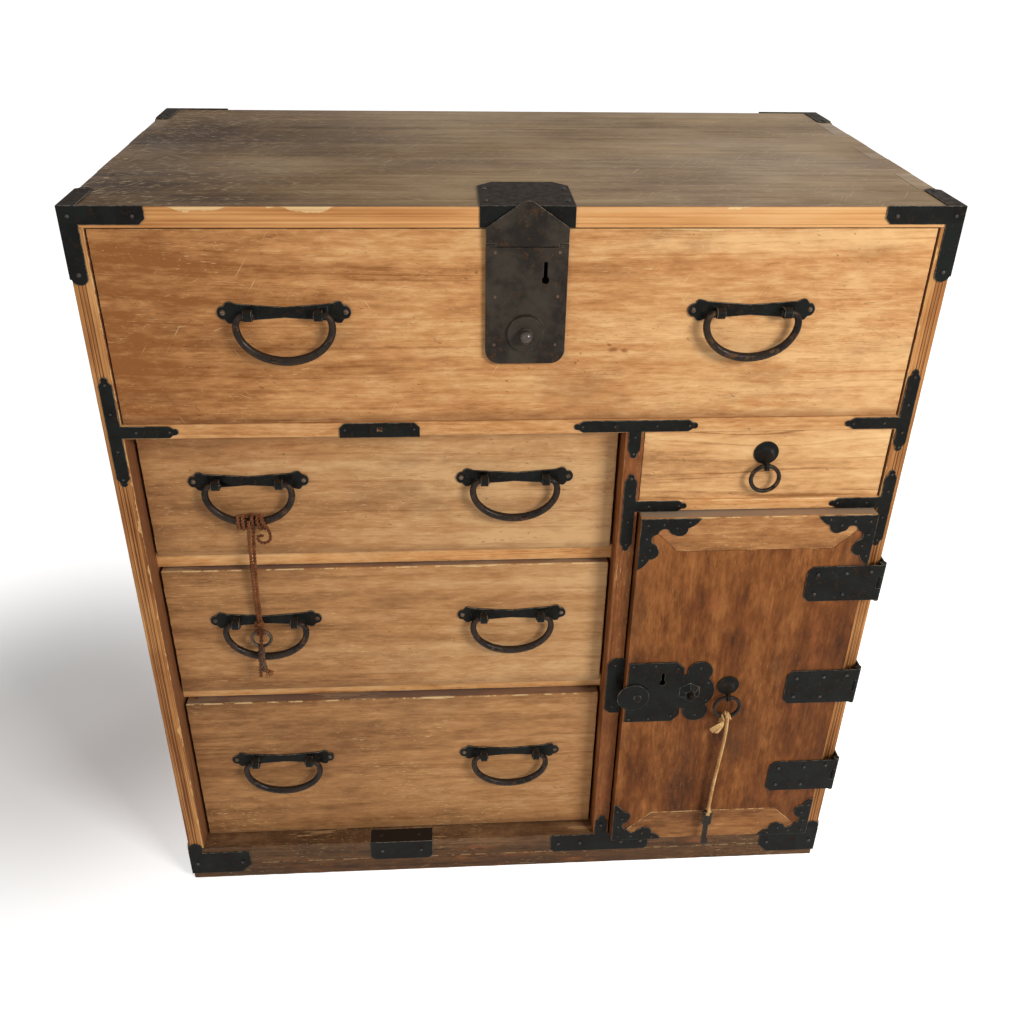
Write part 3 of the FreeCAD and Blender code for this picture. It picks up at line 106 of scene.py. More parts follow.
class Nodes:
    """A node tree being built. An input is given a value or another node's output."""

    def __init__(self, tree):
        self.nodes = tree.nodes
        self.links = tree.links

    def feed(self, socket, value):
        if isinstance(value, bpy.types.NodeSocket):
            self.links.new(value, socket)
        else:
            socket.default_value = value

    def add(self, kind, inputs=None, **settings):
        node = self.nodes.new(kind)
        for key, value in settings.items():
            setattr(node, key, value)
        for key, value in (inputs or {}).items():
            self.feed(node.inputs[key], value)
        return node.outputs

    def math(self, operation, *values):
        return self.add("ShaderNodeMath", dict(enumerate(values)), operation=operation)[0]

    def span(self, value, low, high, to_low=0.0, to_high=1.0, smooth=True):
        values = dict(enumerate((value, low, high, to_low, to_high)))
        ease = "SMOOTHSTEP" if smooth else "LINEAR"
        return self.add("ShaderNodeMapRange", values, interpolation_type=ease)["Result"]


class Finish(Nodes):
    """A material being built. Each method adds what it is named for and returns its output."""

    def __init__(self, name):
        self.material = bpy.data.materials.new(name)
        self.material.use_nodes = True
        super().__init__(self.material.node_tree)
        self.shader = self.nodes["Principled BSDF"]
        coordinates = self.add("ShaderNodeTexCoord")
        self.place = coordinates["Object"]
        self.facing = coordinates["Normal"]

    def plus(self, first, second):
        return self.math("ADD", first, second)

    def minus(self, first, second):
        return self.math("SUBTRACT", first, second)

    def times(self, first, second):
        return self.math("MULTIPLY", first, second)

    def most(self, first, second):
        return self.math("MAXIMUM", first, second)

    def below(self, value, limit):
        return self.math("LESS_THAN", value, limit)

    def above(self, value, limit):
        return self.math("GREATER_THAN", value, limit)

    def shifted(self, vector, offset):
        return self.add("ShaderNodeVectorMath", {0: vector, 1: offset}, operation="ADD")[0]

    def scaled(self, vector, size, turn=(0, 0, 0), offset=(0, 0, 0)):
        angles = [math.radians(angle) for angle in turn]
        inputs = {"Vector": vector, "Scale": size, "Rotation": angles, "Location": offset}
        return self.add("ShaderNodeMapping", inputs)[0]

    def noise(self, vector, scale, detail=3.0, roughness=0.55, colour=False):
        inputs = {"Vector": vector, "Scale": scale, "Detail": detail, "Roughness": roughness}
        return self.add("ShaderNodeTexNoise", inputs)["Color" if colour else "Fac"]

    def stretched(self, vector, size, offset=(0, 0, 0), detail=3.0, roughness=0.6):
        """A noise as fine along each axis as its size says."""
        return self.noise(self.scaled(vector, size, offset=offset), 1.0, detail, roughness)

    def spots(self, vector, scale):
        return self.add("ShaderNodeTexVoronoi", {"Vector": vector, "Scale": scale})["Distance"]

    def mix(self, share, first, second):
        inputs = {"Factor": share, 6: first, 7: second}
        return self.add("ShaderNodeMix", inputs, data_type="RGBA", clamp_factor=True)[2]

    def ramp(self, value, places, colours):
        made = self.add("ShaderNodeValToRGB", {0: value})
        band = self.nodes[-1].color_ramp
        while len(band.elements) < len(places):
            band.elements.new(0.5)
        for element, place, colour in zip(band.elements, places, colours):
            element.position = place
            element.color = colour
        return made[0]

    def parts(self, vector):
        return self.add("ShaderNodeSeparateXYZ", {0: vector})

    def joined(self, x, y, z):
        return self.add("ShaderNodeCombineXYZ", {0: x, 1: y, 2: z})[0]

    def attribute(self, name):
        return self.add("ShaderNodeAttribute", attribute_name=name)["Fac"]

    def bumps(self, *layers):
        """Each layer is a height socket and a depth in metres."""
        below = {}
        for height, depth in layers:
            inputs = {"Strength": 1.0, "Distance": depth, "Height": height, **below}
            normal = self.add("ShaderNodeBump", inputs)[0]
            below = {"Normal": normal}
        self.feed(self.shader.inputs["Normal"], normal)

    def weigh(self, *layers):
        """A half, plus each pattern's swing about its own half times its weight."""
        total = 0.5 - sum(weight for _, weight in layers) / 2
        for pattern, weight in layers:
            total = self.math("MULTIPLY_ADD", pattern, weight, total)
        return total

    def surface(self, colour, roughness, metallic=0.0, specular=0.5):
        values = {
            "Base Color": colour,
            "Roughness": roughness,
            "Metallic": metallic,
            "Specular IOR Level": specular,
        }
        for name, value in values.items():
            self.feed(self.shader.inputs[name], value)
        return self.material


# Studio: a pale floor, a white world and soft lamps, the strongest from the front right
lamp_aim = Vector((0.05, -0.1, 0.45))
lamps = {
    "key": dict(place=(1.50, -1.95, 1.85), size=(0.8, 0.7), watts=44, colour=(1.0, 0.965, 0.92)),
    "fill": dict(place=(-1.9, -2.4, 1.3), size=(1.4, 1.2), watts=7, colour=(0.96, 0.98, 1.0)),
    "window": dict(place=(1.5, 2.4, 2.1), size=(1.6, 1.0), watts=14, colour=(1.0, 0.93, 0.84)),
}
world_light = 0.36
floor_colour = (0.86, 0.86, 0.86, 1)
floor_reach = 40
shade_middle = (-0.74, 0.10, 0.0)
shade_reach = (0.10, 0.62)
floor_glow = (0.10, 0.74)


def add_lamp(name, place, size, watts, colour):
    data = bpy.data.lights.new(name, "AREA")
    data.shape = "RECTANGLE"
    data.size, data.size_y = size
    data.energy = watts
    data.color = colour
    lamp = placed(name, data)
    lamp.location = place
    lamp.rotation_euler = (lamp_aim - lamp.location).to_track_quat("-Z", "Y").to_euler()


def seen_strength(nodes, unseen, seen):
    """A strength of its own for the rays from the camera, from metal and through glass."""
    path = nodes.add("ShaderNodeLightPath")
    share = path["Is Camera Ray"]
    for ray in ("Is Glossy Ray", "Is Transmission Ray"):
        share = nodes.math("MAXIMUM", share, path[ray])
    return nodes.add("ShaderNodeMapRange", {"Value": share, "To Min": unseen, "To Max": seen})["Result"]


def floor_finish():
    """A pale floor that glows white all round, less where the chest's shade lies beside it."""
    finish = Finish("pale floor")
    away = finish.add("ShaderNodeVectorMath", {0: finish.place, 1: shade_middle}, operation="DISTANCE")
    glow = seen_strength(finish, 0.0, finish.span(away["Value"], *shade_reach, *floor_glow))
    finish.feed(finish.shader.inputs["Emission Color"], white)
    finish.feed(finish.shader.inputs["Emission Strength"], glow)
    return finish.surface(floor_colour, 0.9, specular=0.1)


def add_studio():
    mesh = bpy.data.meshes.new("floor")
    signs = ((-1, -1), (1, -1), (1, 1), (-1, 1))
    mesh.from_pydata([(x * floor_reach, y * floor_reach, 0) for x, y in signs], [], [(0, 1, 2, 3)])
    mesh.materials.append(floor_finish())
    placed("floor", mesh)
    world = bpy.data.worlds.new("white room")
    world.use_nodes = True
    room = Nodes(world.node_tree)
    back = room.nodes["Background"].inputs
    room.feed(back["Color"], white)
    room.feed(back["Strength"], seen_strength(room, world_light, 1.0))
    bpy.context.scene.world = world
    for name, values in lamps.items():
        add_lamp(name, **values)
    bpy.context.scene.view_settings.view_transform = "Standard"


add_camera()
add_studio()


# Wood finishes
def grain_place(finish, grain):
    """The place with X along the grain, Y across it on the face and Z into the board."""
    x, y, z = finish.parts(finish.place)
    order = {"x": (x, z, y), "z": (z, x, y), "top": (x, y, z), "side": (z, y, x)}[grain]
    return finish.joined(*order)


def edge_gap(finish, node, sides):
    """How far a point lies from the nearest of the named sides of the node's box."""
    low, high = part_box(node)
    x, y, z = finish.parts(finish.place)
    gaps = {
        "left": (x, low.x, 1), "right": (x, high.x, -1), "front": (y, low.y, 1),
        "back": (y, high.y, -1), "foot": (z, low.z, 1), "head": (z, high.z, -1),
    }
    nearest = None
    for side in sides:
        value, edge, sign = gaps[side]
        gap = finish.times(finish.minus(value, edge), sign)
        nearest = finish.math("MINIMUM", nearest, gap) if nearest else gap
    return nearest


# How fine each pattern of the wood is: along the grain, across it and into the board
drift_size = (1.3, 5, 5)
ripple_size = (11, 36, 36)
band_size = (0.8, 40, 5)
line_size = (2.0, 210, 8)
hair_size = (14, 760, 12)
mottle_size = (46, 210, 60)
cloud_size = (3.2, 8, 8)
patch_size = (16, 52, 40)
soil_size = (5, 11, 11)
warm_size = (10, 30, 30)
fleck_patch_size = (8, 11, 11)
ripple_reach = 5 * mm
head_slack = 0.7 * mm
arris_width = 1.0 * mm
knot_wander = 5 * mm
knot_flatness = 1.5
scratch_turns = (58, 24, 158)
tone_places = (0.16, 0.5, 0.84)
rubbed_wood = linear(236, 204, 150)
grime = linear(92, 68, 48)
red_stain = linear(158, 92, 52)
old_dirt = linear(70, 44, 30)
knot_brown = linear(140, 84, 46)


def growth(finish, board, seed, heart=0.1, depth=0.12, face=0.0, wander=0.03, slope=0.02):
    """The place with Y counted outwards from the heart of the tree, which lies behind the face."""
    along, across, into = finish.parts(board)
    drift = finish.stretched(board, drift_size, (seed, 0, 0), 2.0, 0.5)
    ripple = finish.stretched(board, ripple_size, (seed, 3, 0), 2.0, 0.5)
    bend = finish.weigh((drift, wander), (ripple, ripple_reach))
    offset = finish.plus(finish.minus(across, heart), bend)
    behind = finish.plus(finish.times(along, slope), depth - face)
    behind = finish.plus(behind, into)
    square = finish.plus(finish.times(offset, offset), finish.times(behind, behind))
    return finish.joined(along, finish.math("SQRT", square), into)


def flecks(finish, board, along, across, level, seed, turn=0.0, where=0.5):
    """Thin short marks where a stretched noise passes a level, gathered in patches."""
    turned = finish.scaled(board, (1, 1, 1), (0, 0, turn)) if turn else board
    marks = finish.stretched(turned, (along, across, across), (seed, seed, 0), 1.0, 0.4)
    patches = finish.stretched(board, fleck_patch_size, (seed, 5, 0))
    fine = finish.span(marks, level, level + 0.05)
    return finish.times(fine, finish.span(patches, where - 0.06, where + 0.08))


def wood(name, grain, tones, rings, seed=0.0, band=0.75, line=0.14, fibre=0.55, blotch=0.8, pale=0.4,
         dark=0.35, scored=0.0, stain=0.35, rim=0.7, roughness=0.6, sheen=0.15, tint=None, after=None):
    """An old board. Tones run dark, middle, light; tint changes the tone, and after the colour at the end."""
    finish = Finish(name)
    board = grain_place(finish, grain)
    ring = growth(finish, board, seed, **rings)
    bands = finish.stretched(ring, band_size, (seed, 1, 0))
    lines = finish.stretched(ring, line_size, (seed, 2, 0), 2.0, 0.5)
    hair = finish.stretched(ring, hair_size, (seed, 4, 0), 3.0, 0.65)
    mottle = finish.stretched(board, mottle_size, (seed, 9, 0), 3.0, 0.65)
    cloud = finish.stretched(board, cloud_size, (seed, 2, 0), 5.0, 0.65)
    patches = finish.stretched(board, patch_size, (seed, 11, 0), 4.0, 0.7)
    late = finish.times(finish.span(lines, 0.54, 0.70), finish.span(cloud, 0.36, 0.56))
    tone = finish.weigh((bands, band), (cloud, blotch), (patches, blotch * 0.8), (hair, fibre * 0.5),
                        (mottle, fibre))
    tone = finish.minus(tone, finish.times(late, line))
    if tint:
        tone = finish.plus(tone, tint(finish))
    colour = finish.ramp(tone, tone_places, tones)
    soil = finish.stretched(board, soil_size, (seed, 6, 0), 6.0, 0.7)
    colour = finish.mix(finish.span(soil, 0.52, 0.74, 0.0, stain), colour, grime)
    warm = finish.stretched(board, warm_size, (seed, 7, 0), 5.0, 0.65)
    colour = finish.mix(finish.span(warm, 0.56, 0.76, 0.0, stain * 1.2), colour, red_stain)
    pores = flecks(finish, board, 60, 900, 0.64, seed + 3)
    colour = finish.mix(finish.times(pores, dark), colour, tones[0])
    dashes = finish.most(flecks(finish, board, 100, 1000, 0.685, seed + 1, 0, 0.51),
                         flecks(finish, board, 200, 620, 0.72, seed + 2, 3, 0.50))
    colour = finish.mix(finish.times(dashes, pale), colour, rubbed_wood)
    dents = flecks(finish, board, 150, 420, 0.735, seed + 6, 20, 0.48)
    colour = finish.mix(finish.times(dents, 0.5), colour, old_dirt)
    if scored:
        cuts = flecks(finish, board, 22, 620, 0.735, seed + 4, 122, 0.54)
        for turn in scratch_turns:
            cuts = finish.most(cuts, flecks(finish, board, 30, 620, 0.75, seed + turn, turn, 0.53))
        colour = finish.mix(finish.times(cuts, scored), colour, rubbed_wood)
    worn = finish.noise(finish.place, 60, 4.0, 0.7)
    bare = finish.times(finish.attribute("rim"), finish.span(worn, 0.46, 0.56))
    colour = finish.mix(finish.times(bare, rim), colour, rubbed_wood)
    if after:
        colour = after(finish, colour, board)
    finish.bumps((hair, 0.08 * mm), (late, -0.10 * mm), (pores, -0.10 * mm), (dents, -0.20 * mm))
    rough = finish.span(cloud, 0.3, 0.7, roughness - 0.08, roughness + 0.08)
    return finish.surface(colour, rough, specular=sheen)


def keyhole_shade(place, reach):
    """A colour change for wood(): the dark inside of a keyhole."""
    def change(finish, base, board):
        x, _, z = finish.parts(finish.place)
        off_x = finish.math("ABSOLUTE", finish.minus(x, place[0]))
        off_z = finish.math("ABSOLUTE", finish.minus(z, place[1]))
        inside = finish.below(finish.most(off_x, off_z), reach)
        return finish.mix(inside, base, linear(10, 8, 6))
    return change


def grimy_foot(node, reach, strength):
    """A colour change for wood(): grime gathered by the foot of the node's box."""
    def change(finish, base, board):
        gap = edge_gap(finish, node, ("foot",))
        uneven = finish.stretched(finish.place, (14, 14, 30))
        share = finish.span(gap, 0.0, finish.times(uneven, reach * 2), strength, 0.0)
        return finish.mix(share, base, grime)
    return change


def grey_head(node, reach=2 * mm, colour=linear(112, 92, 82), strength=0.85):
    """A colour change for wood(): the top face greyer, and a pale line along its front edge."""
    def change(finish, base, board):
        gap = edge_gap(finish, node, ("head",))
        front = edge_gap(finish, node, ("front",))
        on_top = finish.below(gap, head_slack)
        back_from = finish.span(front, arris_width, reach + arris_width)
        uneven = finish.stretched(finish.place, (9, 40, 9), detail=4.0)
        share = finish.times(on_top, finish.span(uneven, 0.3, 0.6, strength * 0.7, strength))
        return finish.mix(finish.times(share, back_from), base, colour)
    return change


def chipped(node, sides, reach, colour=rubbed_wood, strength=0.8, level=0.56):
    """A colour change for wood(): flakes broken off along an edge, bare wood showing."""
    def change(finish, base, board):
        gap = edge_gap(finish, node, sides)
        broken = finish.stretched(board, (9, 70, 70), detail=4.0)
        depth = finish.span(broken, level, level + 0.16, 0.0, reach)
        flake = finish.below(gap, depth)
        shade = finish.stretched(board, (30, 400, 400), detail=2.0)
        share = finish.times(flake, finish.span(shade, 0.35, 0.6, strength * 0.6, strength))
        return finish.mix(share, base, colour)
    return change


def knots(places):
    """A colour change for wood(): small brown knots, each an x, a z and a reach in millimetres."""
    def change(finish, base, board):
        stirred = finish.noise(finish.place, 110, 3.0, 0.6, colour=True)
        shift = finish.scaled(stirred, (knot_wander, knot_wander, knot_wander))
        x, _, z = finish.parts(finish.shifted(finish.place, shift))
        for at_x, at_z, reach in places:
            off_x = finish.minus(x, at_x * mm + knot_wander / 2)
            off_z = finish.times(finish.minus(z, at_z * mm + knot_wander / 2), knot_flatness)
            gap = finish.math("SQRT", finish.plus(finish.times(off_x, off_x), finish.times(off_z, off_z)))
            base = finish.mix(finish.span(gap, reach * 0.2 * mm, reach * mm, 0.8, 0.0), base, knot_brown)
        return base
    return change


def chain(*changes):
    def change(finish, base, board):
        for one in changes:
            base = one(finish, base, board)
        return base
    return change


def slope_tint(axis, low, high, at_low, at_high):
    """A tone that changes steadily from one place to another."""
    def tint(finish):
        value = finish.parts(finish.place)["xyz".index(axis)]
        return finish.span(value, low, high, at_low, at_high, smooth=False)
    return tint


# Iron finishes
bare_edge_highlight = linear(150, 142, 128)
iron_speck_and_glint = linear(118, 104, 88)
lit_top_tone = linear(40, 31, 23)
brown_and_glint_iron = linear(112, 88, 70)
hammer_depth = 0.14 * mm


def iron(name, dark, tint, rust, rust_share=0.4, roughness=0.5, metallic=0.0, specular=0.12, speck=0.45,
         edge=0.5):
    """Forged iron: blackened, mottled with a cooler tint and rust, and lighter on its edges, partly rubbed
    bare and partly a painted highlight.
    """
    finish = Finish(name)
    broad = finish.noise(finish.place, 34, 4.0, 0.6)
    patch = finish.noise(finish.shifted(finish.place, (3, 1, 2)), 120, 5.0, 0.68)
    grain = finish.noise(finish.place, 640, 3.0, 0.6)
    pits = finish.spots(finish.place, 420)
    colour = finish.mix(finish.span(broad, 0.36, 0.64), dark, tint)
    rusty = finish.times(finish.span(patch, 0.52, 0.64), finish.span(broad, 0.62, 0.40))
    colour = finish.mix(finish.times(rusty, rust_share), colour, rust)
    # Pale specks in patches: partly scuffs, partly painted glints.
    specks_and_glints = finish.times(finish.span(grain, 0.60, 0.72), finish.span(patch, 0.46, 0.62))
    colour = finish.mix(finish.times(specks_and_glints, speck), colour, iron_speck_and_glint)
    upward = finish.span(finish.parts(finish.facing)[2], 0.6, 0.9)
    # Painted light: faces that look up are tinted a lighter, warm brown, as lit tops, in place of the cool
    # grey that the white reflection gives them.
    colour = finish.mix(finish.times(upward, 0.85), colour, lit_top_tone)
    # Small pieces are lighter brown: the posts' own colour, and on the nail heads a painted glint.
    small = finish.times(finish.attribute("small"), finish.span(patch, 0.35, 0.6, 0.25, 0.75))
    colour = finish.mix(small, colour, brown_and_glint_iron)
    # The rounded edges are lighter: partly rubbed bare, partly a painted highlight.
    rubbed_and_lit_edge = finish.times(finish.attribute("rim"), finish.span(patch, 0.42, 0.60, 0.15, 1.0))
    colour = finish.mix(finish.times(rubbed_and_lit_edge, edge), colour, bare_edge_highlight)
    dents = finish.times(broad, finish.minus(1.0, upward))
    finish.bumps((dents, hammer_depth), (patch, 0.07 * mm), (finish.span(pits, 0.0, 0.35), 0.04 * mm))
    rough = finish.plus(finish.span(patch, 0.35, 0.7, roughness - 0.1, roughness + 0.16),
                        finish.times(finish.most(rusty, upward), 0.3))
    return finish.surface(colour, rough, metallic=metallic, specular=specular)


# Meshes: copies of the CAD shapes with rounded, worn edges
weld_reach = 0.01 * mm
flat_angle = math.radians(0.5)
wear_size = 60
chip_size = 25
chip_level = 0.25
hammer_size = 55
lump_sizes = (120, 300)
lump_depth = 0.25 * mm
small_piece = 24 * mm

# Without a seed of its own, the hammered outline would come out a little different at each run
noise.seed_set(5)


def merged_copy(node):
    """The node's loose triangles, joined at their corners."""
    shape = bmesh.new()
    shape.from_mesh(frame["nodes"][node].data)
    bmesh.ops.remove_doubles(shape, verts=shape.verts, dist=weld_reach)
    return shape


def clean_copy(node):
    """The node's shape as closed meshes with flat faces kept whole; walls where two solids meet go."""
    shape = merged_copy(node)
    bmesh.ops.dissolve_limit(shape, angle_limit=flat_angle, verts=shape.verts, edges=shape.edges)
    pairs = {}
    for face in shape.faces:
        pairs.setdefault(frozenset(face.verts), []).append(face)
    inner = [face for faces in pairs.values() if len(faces) > 1 for face in faces]
    if inner:
        bmesh.ops.delete(shape, geom=inner, context="FACES")
        bmesh.ops.dissolve_limit(shape, angle_limit=flat_angle, verts=shape.verts, edges=shape.edges)
    return shape


def frame_name(node):
    return node + "_piece"


def take_place(piece, node, slot):
    """The piece is seen in the node's place and moves with its body."""
    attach(piece, frame["nodes"][node]["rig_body"])
    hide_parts(node)


def to_piece(shape, node, slot, material, smooth_angle=40):
    mesh = bpy.data.meshes.new(frame_name(node))
    bmesh.ops.triangulate(shape, faces=[face for face in shape.faces if len(face.verts) > 4])
    shape.to_mesh(mesh)
    shape.free()
    mesh.materials.append(material)
    mesh.polygons.foreach_set("use_smooth", [True] * len(mesh.polygons))
    mesh.set_sharp_from_angle(angle=math.radians(smooth_angle))
    piece = placed(frame_name(node), mesh)
    weighted = piece.modifiers.new("normals", "WEIGHTED_NORMAL")
    weighted.keep_sharp = True
    weighted.weight = 100
    take_place(piece, node, slot)


def sharp_edges(shape, angle=28):
    found = []
    for edge in shape.edges:
        if len(edge.link_faces) == 2 and edge.calc_face_angle(0.0) > math.radians(angle):
            found.append(edge)
    return found


def soften(shape, edges, width, segments, profile=0.5):
    """Rounds the edges, and marks their new faces so that the finish can wear them."""
    rim = shape.faces.layers.float.new("rim")
    made = bmesh.ops.bevel(shape, geom=edges, offset=width, segments=segments, profile=profile,
                           affect="EDGES", clamp_overlap=True)
    for face in made["faces"]:
        face[rim] = 1.0


def board(node, slot, material, edge=1.0, wear=0.35, step=7.0, chips=0.0, seed=0.0):
    """A wooden board: its edges are rounded and worn unevenly. Sizes in millimetres."""
    shape = clean_copy(node)
    for one in sharp_edges(shape):
        cuts = int(one.calc_length() / (step * mm)) - 1
        if cuts > 0:
            bmesh.ops.bisect_edges(shape, edges=[one], cuts=cuts)
    soften(shape, sharp_edges(shape), edge * mm, 4, 0.6)
    limit = (step * 1.5 * mm) * (edge * mm)
    for vertex in shape.verts:
        if all(face.calc_area() < limit for face in vertex.link_faces):
            rough = noise.noise(vertex.co * wear_size + Vector((seed, 0, 0)))
            chip = noise.noise(vertex.co * chip_size + Vector((0, seed, 7)))
            depth = wear * (0.5 + 0.5 * rough) + chips * max(0.0, chip - chip_level)
            vertex.co -= vertex.normal * depth * mm
    to_piece(shape, node, slot, material)


def plain_board(node, slot, material, edge=0.6):
    shape = clean_copy(node)
    soften(shape, sharp_edges(shape), edge * mm, 2)
    to_piece(shape, node, slot, material)


def islands(shape):
    """The separate solids of a mesh, as lists of vertices."""
    left = set(shape.verts)
    while left:
        seed = left.pop()
        group, edge = [seed], [seed]
        while edge:
            vertex = edge.pop()
            for link in vertex.link_edges:
                other = link.other_vert(vertex)
                if other in left:
                    left.remove(other)
                    group.append(other)
                    edge.append(other)
        yield group


def corners(group):
    """The lowest and the highest corner of the box round a solid's vertices."""
    low = Vector([min(vertex.co[i] for vertex in group) for i in range(3)])
    high = Vector([max(vertex.co[i] for vertex in group) for i in range(3)])
    return low, high


def forged(node, slot, material, edge=0.45, uneven=0.12):
    """A piece of iron: fine rounded edges and a slightly hammered outline. Its nails and posts are marked."""
    shape = clean_copy(node)
    soften(shape, sharp_edges(shape, 30), edge * mm, 2)
    small = shape.faces.layers.float.new("small")
    for group in list(islands(shape)):
        low, high = corners(group)
        if max(high - low) < small_piece:
            for face in {face for vertex in group for face in vertex.link_faces}:
                face[small] = 1.0
    for vertex in shape.verts:
        push = noise.noise_vector(vertex.co * hammer_size)
        push.y *= 0.25
        vertex.co += push * uneven * mm
    to_piece(shape, node, slot, material)


def bar(node, slot, material):
    """A round forged bar, keeping its fine mesh."""
    shape = merged_copy(node)
    shape.normal_update()
    large, small = lump_sizes
    for vertex in shape.verts:
        lump = noise.noise(vertex.co * large) + 0.5 * noise.noise(vertex.co * small)
        vertex.co += vertex.normal * min(lump, 0.0) * lump_depth
    to_piece(shape, node, slot, material, smooth_angle=50)


# Geometry nodes: the nail heads and the twisted cords
dome_power = 2.2
dome_fall = 0.72
head_spin = 6.28
head_width_share = 0.86
head_height_share = 1.3
rope_step_share = 0.4
rope_unevenness = 1.6


class Tree(Nodes):
    """A tree of geometry nodes being built, with a named input for each size and one for the finish."""

    def __init__(self, name, sizes):
        self.group = bpy.data.node_groups.new(name, "GeometryNodeTree")
        super().__init__(self.group)
        for size, kind in (("Geometry", "NodeSocketGeometry"), *sizes):
            self.group.interface.new_socket(size, in_out="INPUT", socket_type=kind)
        self.group.interface.new_socket("Geometry", in_out="OUTPUT", socket_type="NodeSocketGeometry")
        self.given = self.add("NodeGroupInput")

    def finished(self, shape):
        real = self.add("GeometryNodeRealizeInstances", {"Geometry": shape})
        soft = self.add("GeometryNodeSetShadeSmooth", {"Geometry": real["Geometry"]})
        inputs = {"Geometry": soft["Geometry"], "Material": self.given["Finish"]}
        paint = self.add("GeometryNodeSetMaterial", inputs)
        self.add("NodeGroupOutput", {"Geometry": paint["Geometry"]})
        return self.group


def read_back(holder):
    """The evaluated object as a plain mesh; the object itself goes."""
    bpy.context.view_layer.update()
    mesh = bpy.data.meshes.new_from_object(holder.evaluated_get(bpy.context.evaluated_depsgraph_get()))
    holder.modifiers.clear()
    bpy.data.objects.remove(holder)
    return mesh


def through_tree(name, points, tree, values):
    """Runs a tree on a mesh of points and keeps the result as a plain mesh."""
    holder = placed(name + "_points", points)
    modifier = holder.modifiers.new("tree", "NODES")
    modifier.node_group = tree
    for socket in tree.interface.items_tree:
        if socket.in_out == "INPUT" and socket.name in values:
            modifier[socket.identifier] = values[socket.name]
    mesh = read_back(holder)
    mesh.name = name
    return placed(name, mesh)


def nail_tree():
    """A low hammered dome on each point, turned and sized a little differently."""
    tree = Tree("nail heads", (("Sides", "NodeSocketInt"), ("Finish", "NodeSocketMaterial")))
    blank = tree.add("GeometryNodeMeshCylinder", {
        "Vertices": tree.given["Sides"], "Side Segments": 4, "Radius": 1.0, "Depth": 1.0,
    })
    place = tree.add("GeometryNodeInputPosition")
    across = tree.add("ShaderNodeSeparateXYZ", {0: place[0]})
    height = tree.math("ADD", across["Z"], 0.5)
    keep = tree.math("MULTIPLY_ADD", tree.math("POWER", height, dome_power), -dome_fall, 1.0)
    domed = tree.add("ShaderNodeCombineXYZ", {
        "X": tree.math("MULTIPLY", across["X"], keep),
        "Y": tree.math("MULTIPLY", across["Y"], keep),
        "Z": height,
    })
    dome = tree.add("GeometryNodeSetPosition", {"Geometry": blank["Mesh"], "Position": domed[0]})
    size = tree.add("GeometryNodeInputNamedAttribute", {"Name": "size"}, data_type="FLOAT_VECTOR")
    outward = tree.add("GeometryNodeInputNamedAttribute", {"Name": "outward"}, data_type="FLOAT_VECTOR")
    aim = tree.add("FunctionNodeAlignRotationToVector", {"Vector": outward[0]}, axis="Z")
    vary = tree.add("FunctionNodeRandomValue", {
        "Min": (0.86, 0.86, 0.8), "Max": (1.0, 1.0, 1.0), "Seed": 4,
    }, data_type="FLOAT_VECTOR")
    scale = tree.add("ShaderNodeVectorMath", {0: size[0], 1: vary["Value"]}, operation="MULTIPLY")
    turn = tree.add("FunctionNodeRandomValue", {3: head_spin, "Seed": 9}, data_type="FLOAT")
    spin = tree.add("FunctionNodeAxisAngleToRotation", {"Angle": turn[1]})
    rotations = {"Rotation": aim[0], "Rotate By": spin[0]}
    both = tree.add("FunctionNodeRotateRotation", rotations, rotation_space="LOCAL")
    heads = tree.add("GeometryNodeInstanceOnPoints", {
        "Points": tree.given["Geometry"],
        "Instance": dome["Geometry"],
        "Rotation": both[0],
        "Scale": scale[0],
    })
    return tree.finished(heads["Instances"])


def nail_heads(node, slot, material, tree, extra=()):
    """Domed heads where the node has its nails: at the foot of each, facing out of the chest."""
    shape = merged_copy(node)
    rows = []
    for group in islands(shape):
        low, high = corners(group)
        size = high - low
        middle = (low + high) / 2
        axis = min(range(3), key=lambda i: size[i])
        sign = 1 if axis == 2 or (axis == 0 and middle.x > 0) else -1
        outward = Vector([sign if i == axis else 0 for i in range(3)])
        rows.append((middle - outward * size[axis] / 2, max(size) / 2, size[axis], outward))
    shape.free()
    rows += list(extra)
    rows.sort(key=lambda row: tuple(round(value, 5) for value in row[0]))
    points = bpy.data.meshes.new(node + "_points")
    points.from_pydata([row[0] for row in rows], [], [])
    heads = [(radius * head_width_share, radius * head_width_share, height * head_height_share)
             for _, radius, height, _ in rows]
    for name, vectors in (("size", heads), ("outward", [row[3] for row in rows])):
        values = points.attributes.new(name, "FLOAT_VECTOR", "POINT")
        values.data.foreach_set("vector", [value for vector in vectors for value in vector])
    piece = through_tree(frame_name(node), points, tree, {"Sides": 12, "Finish": material})
    take_place(piece, node, slot)


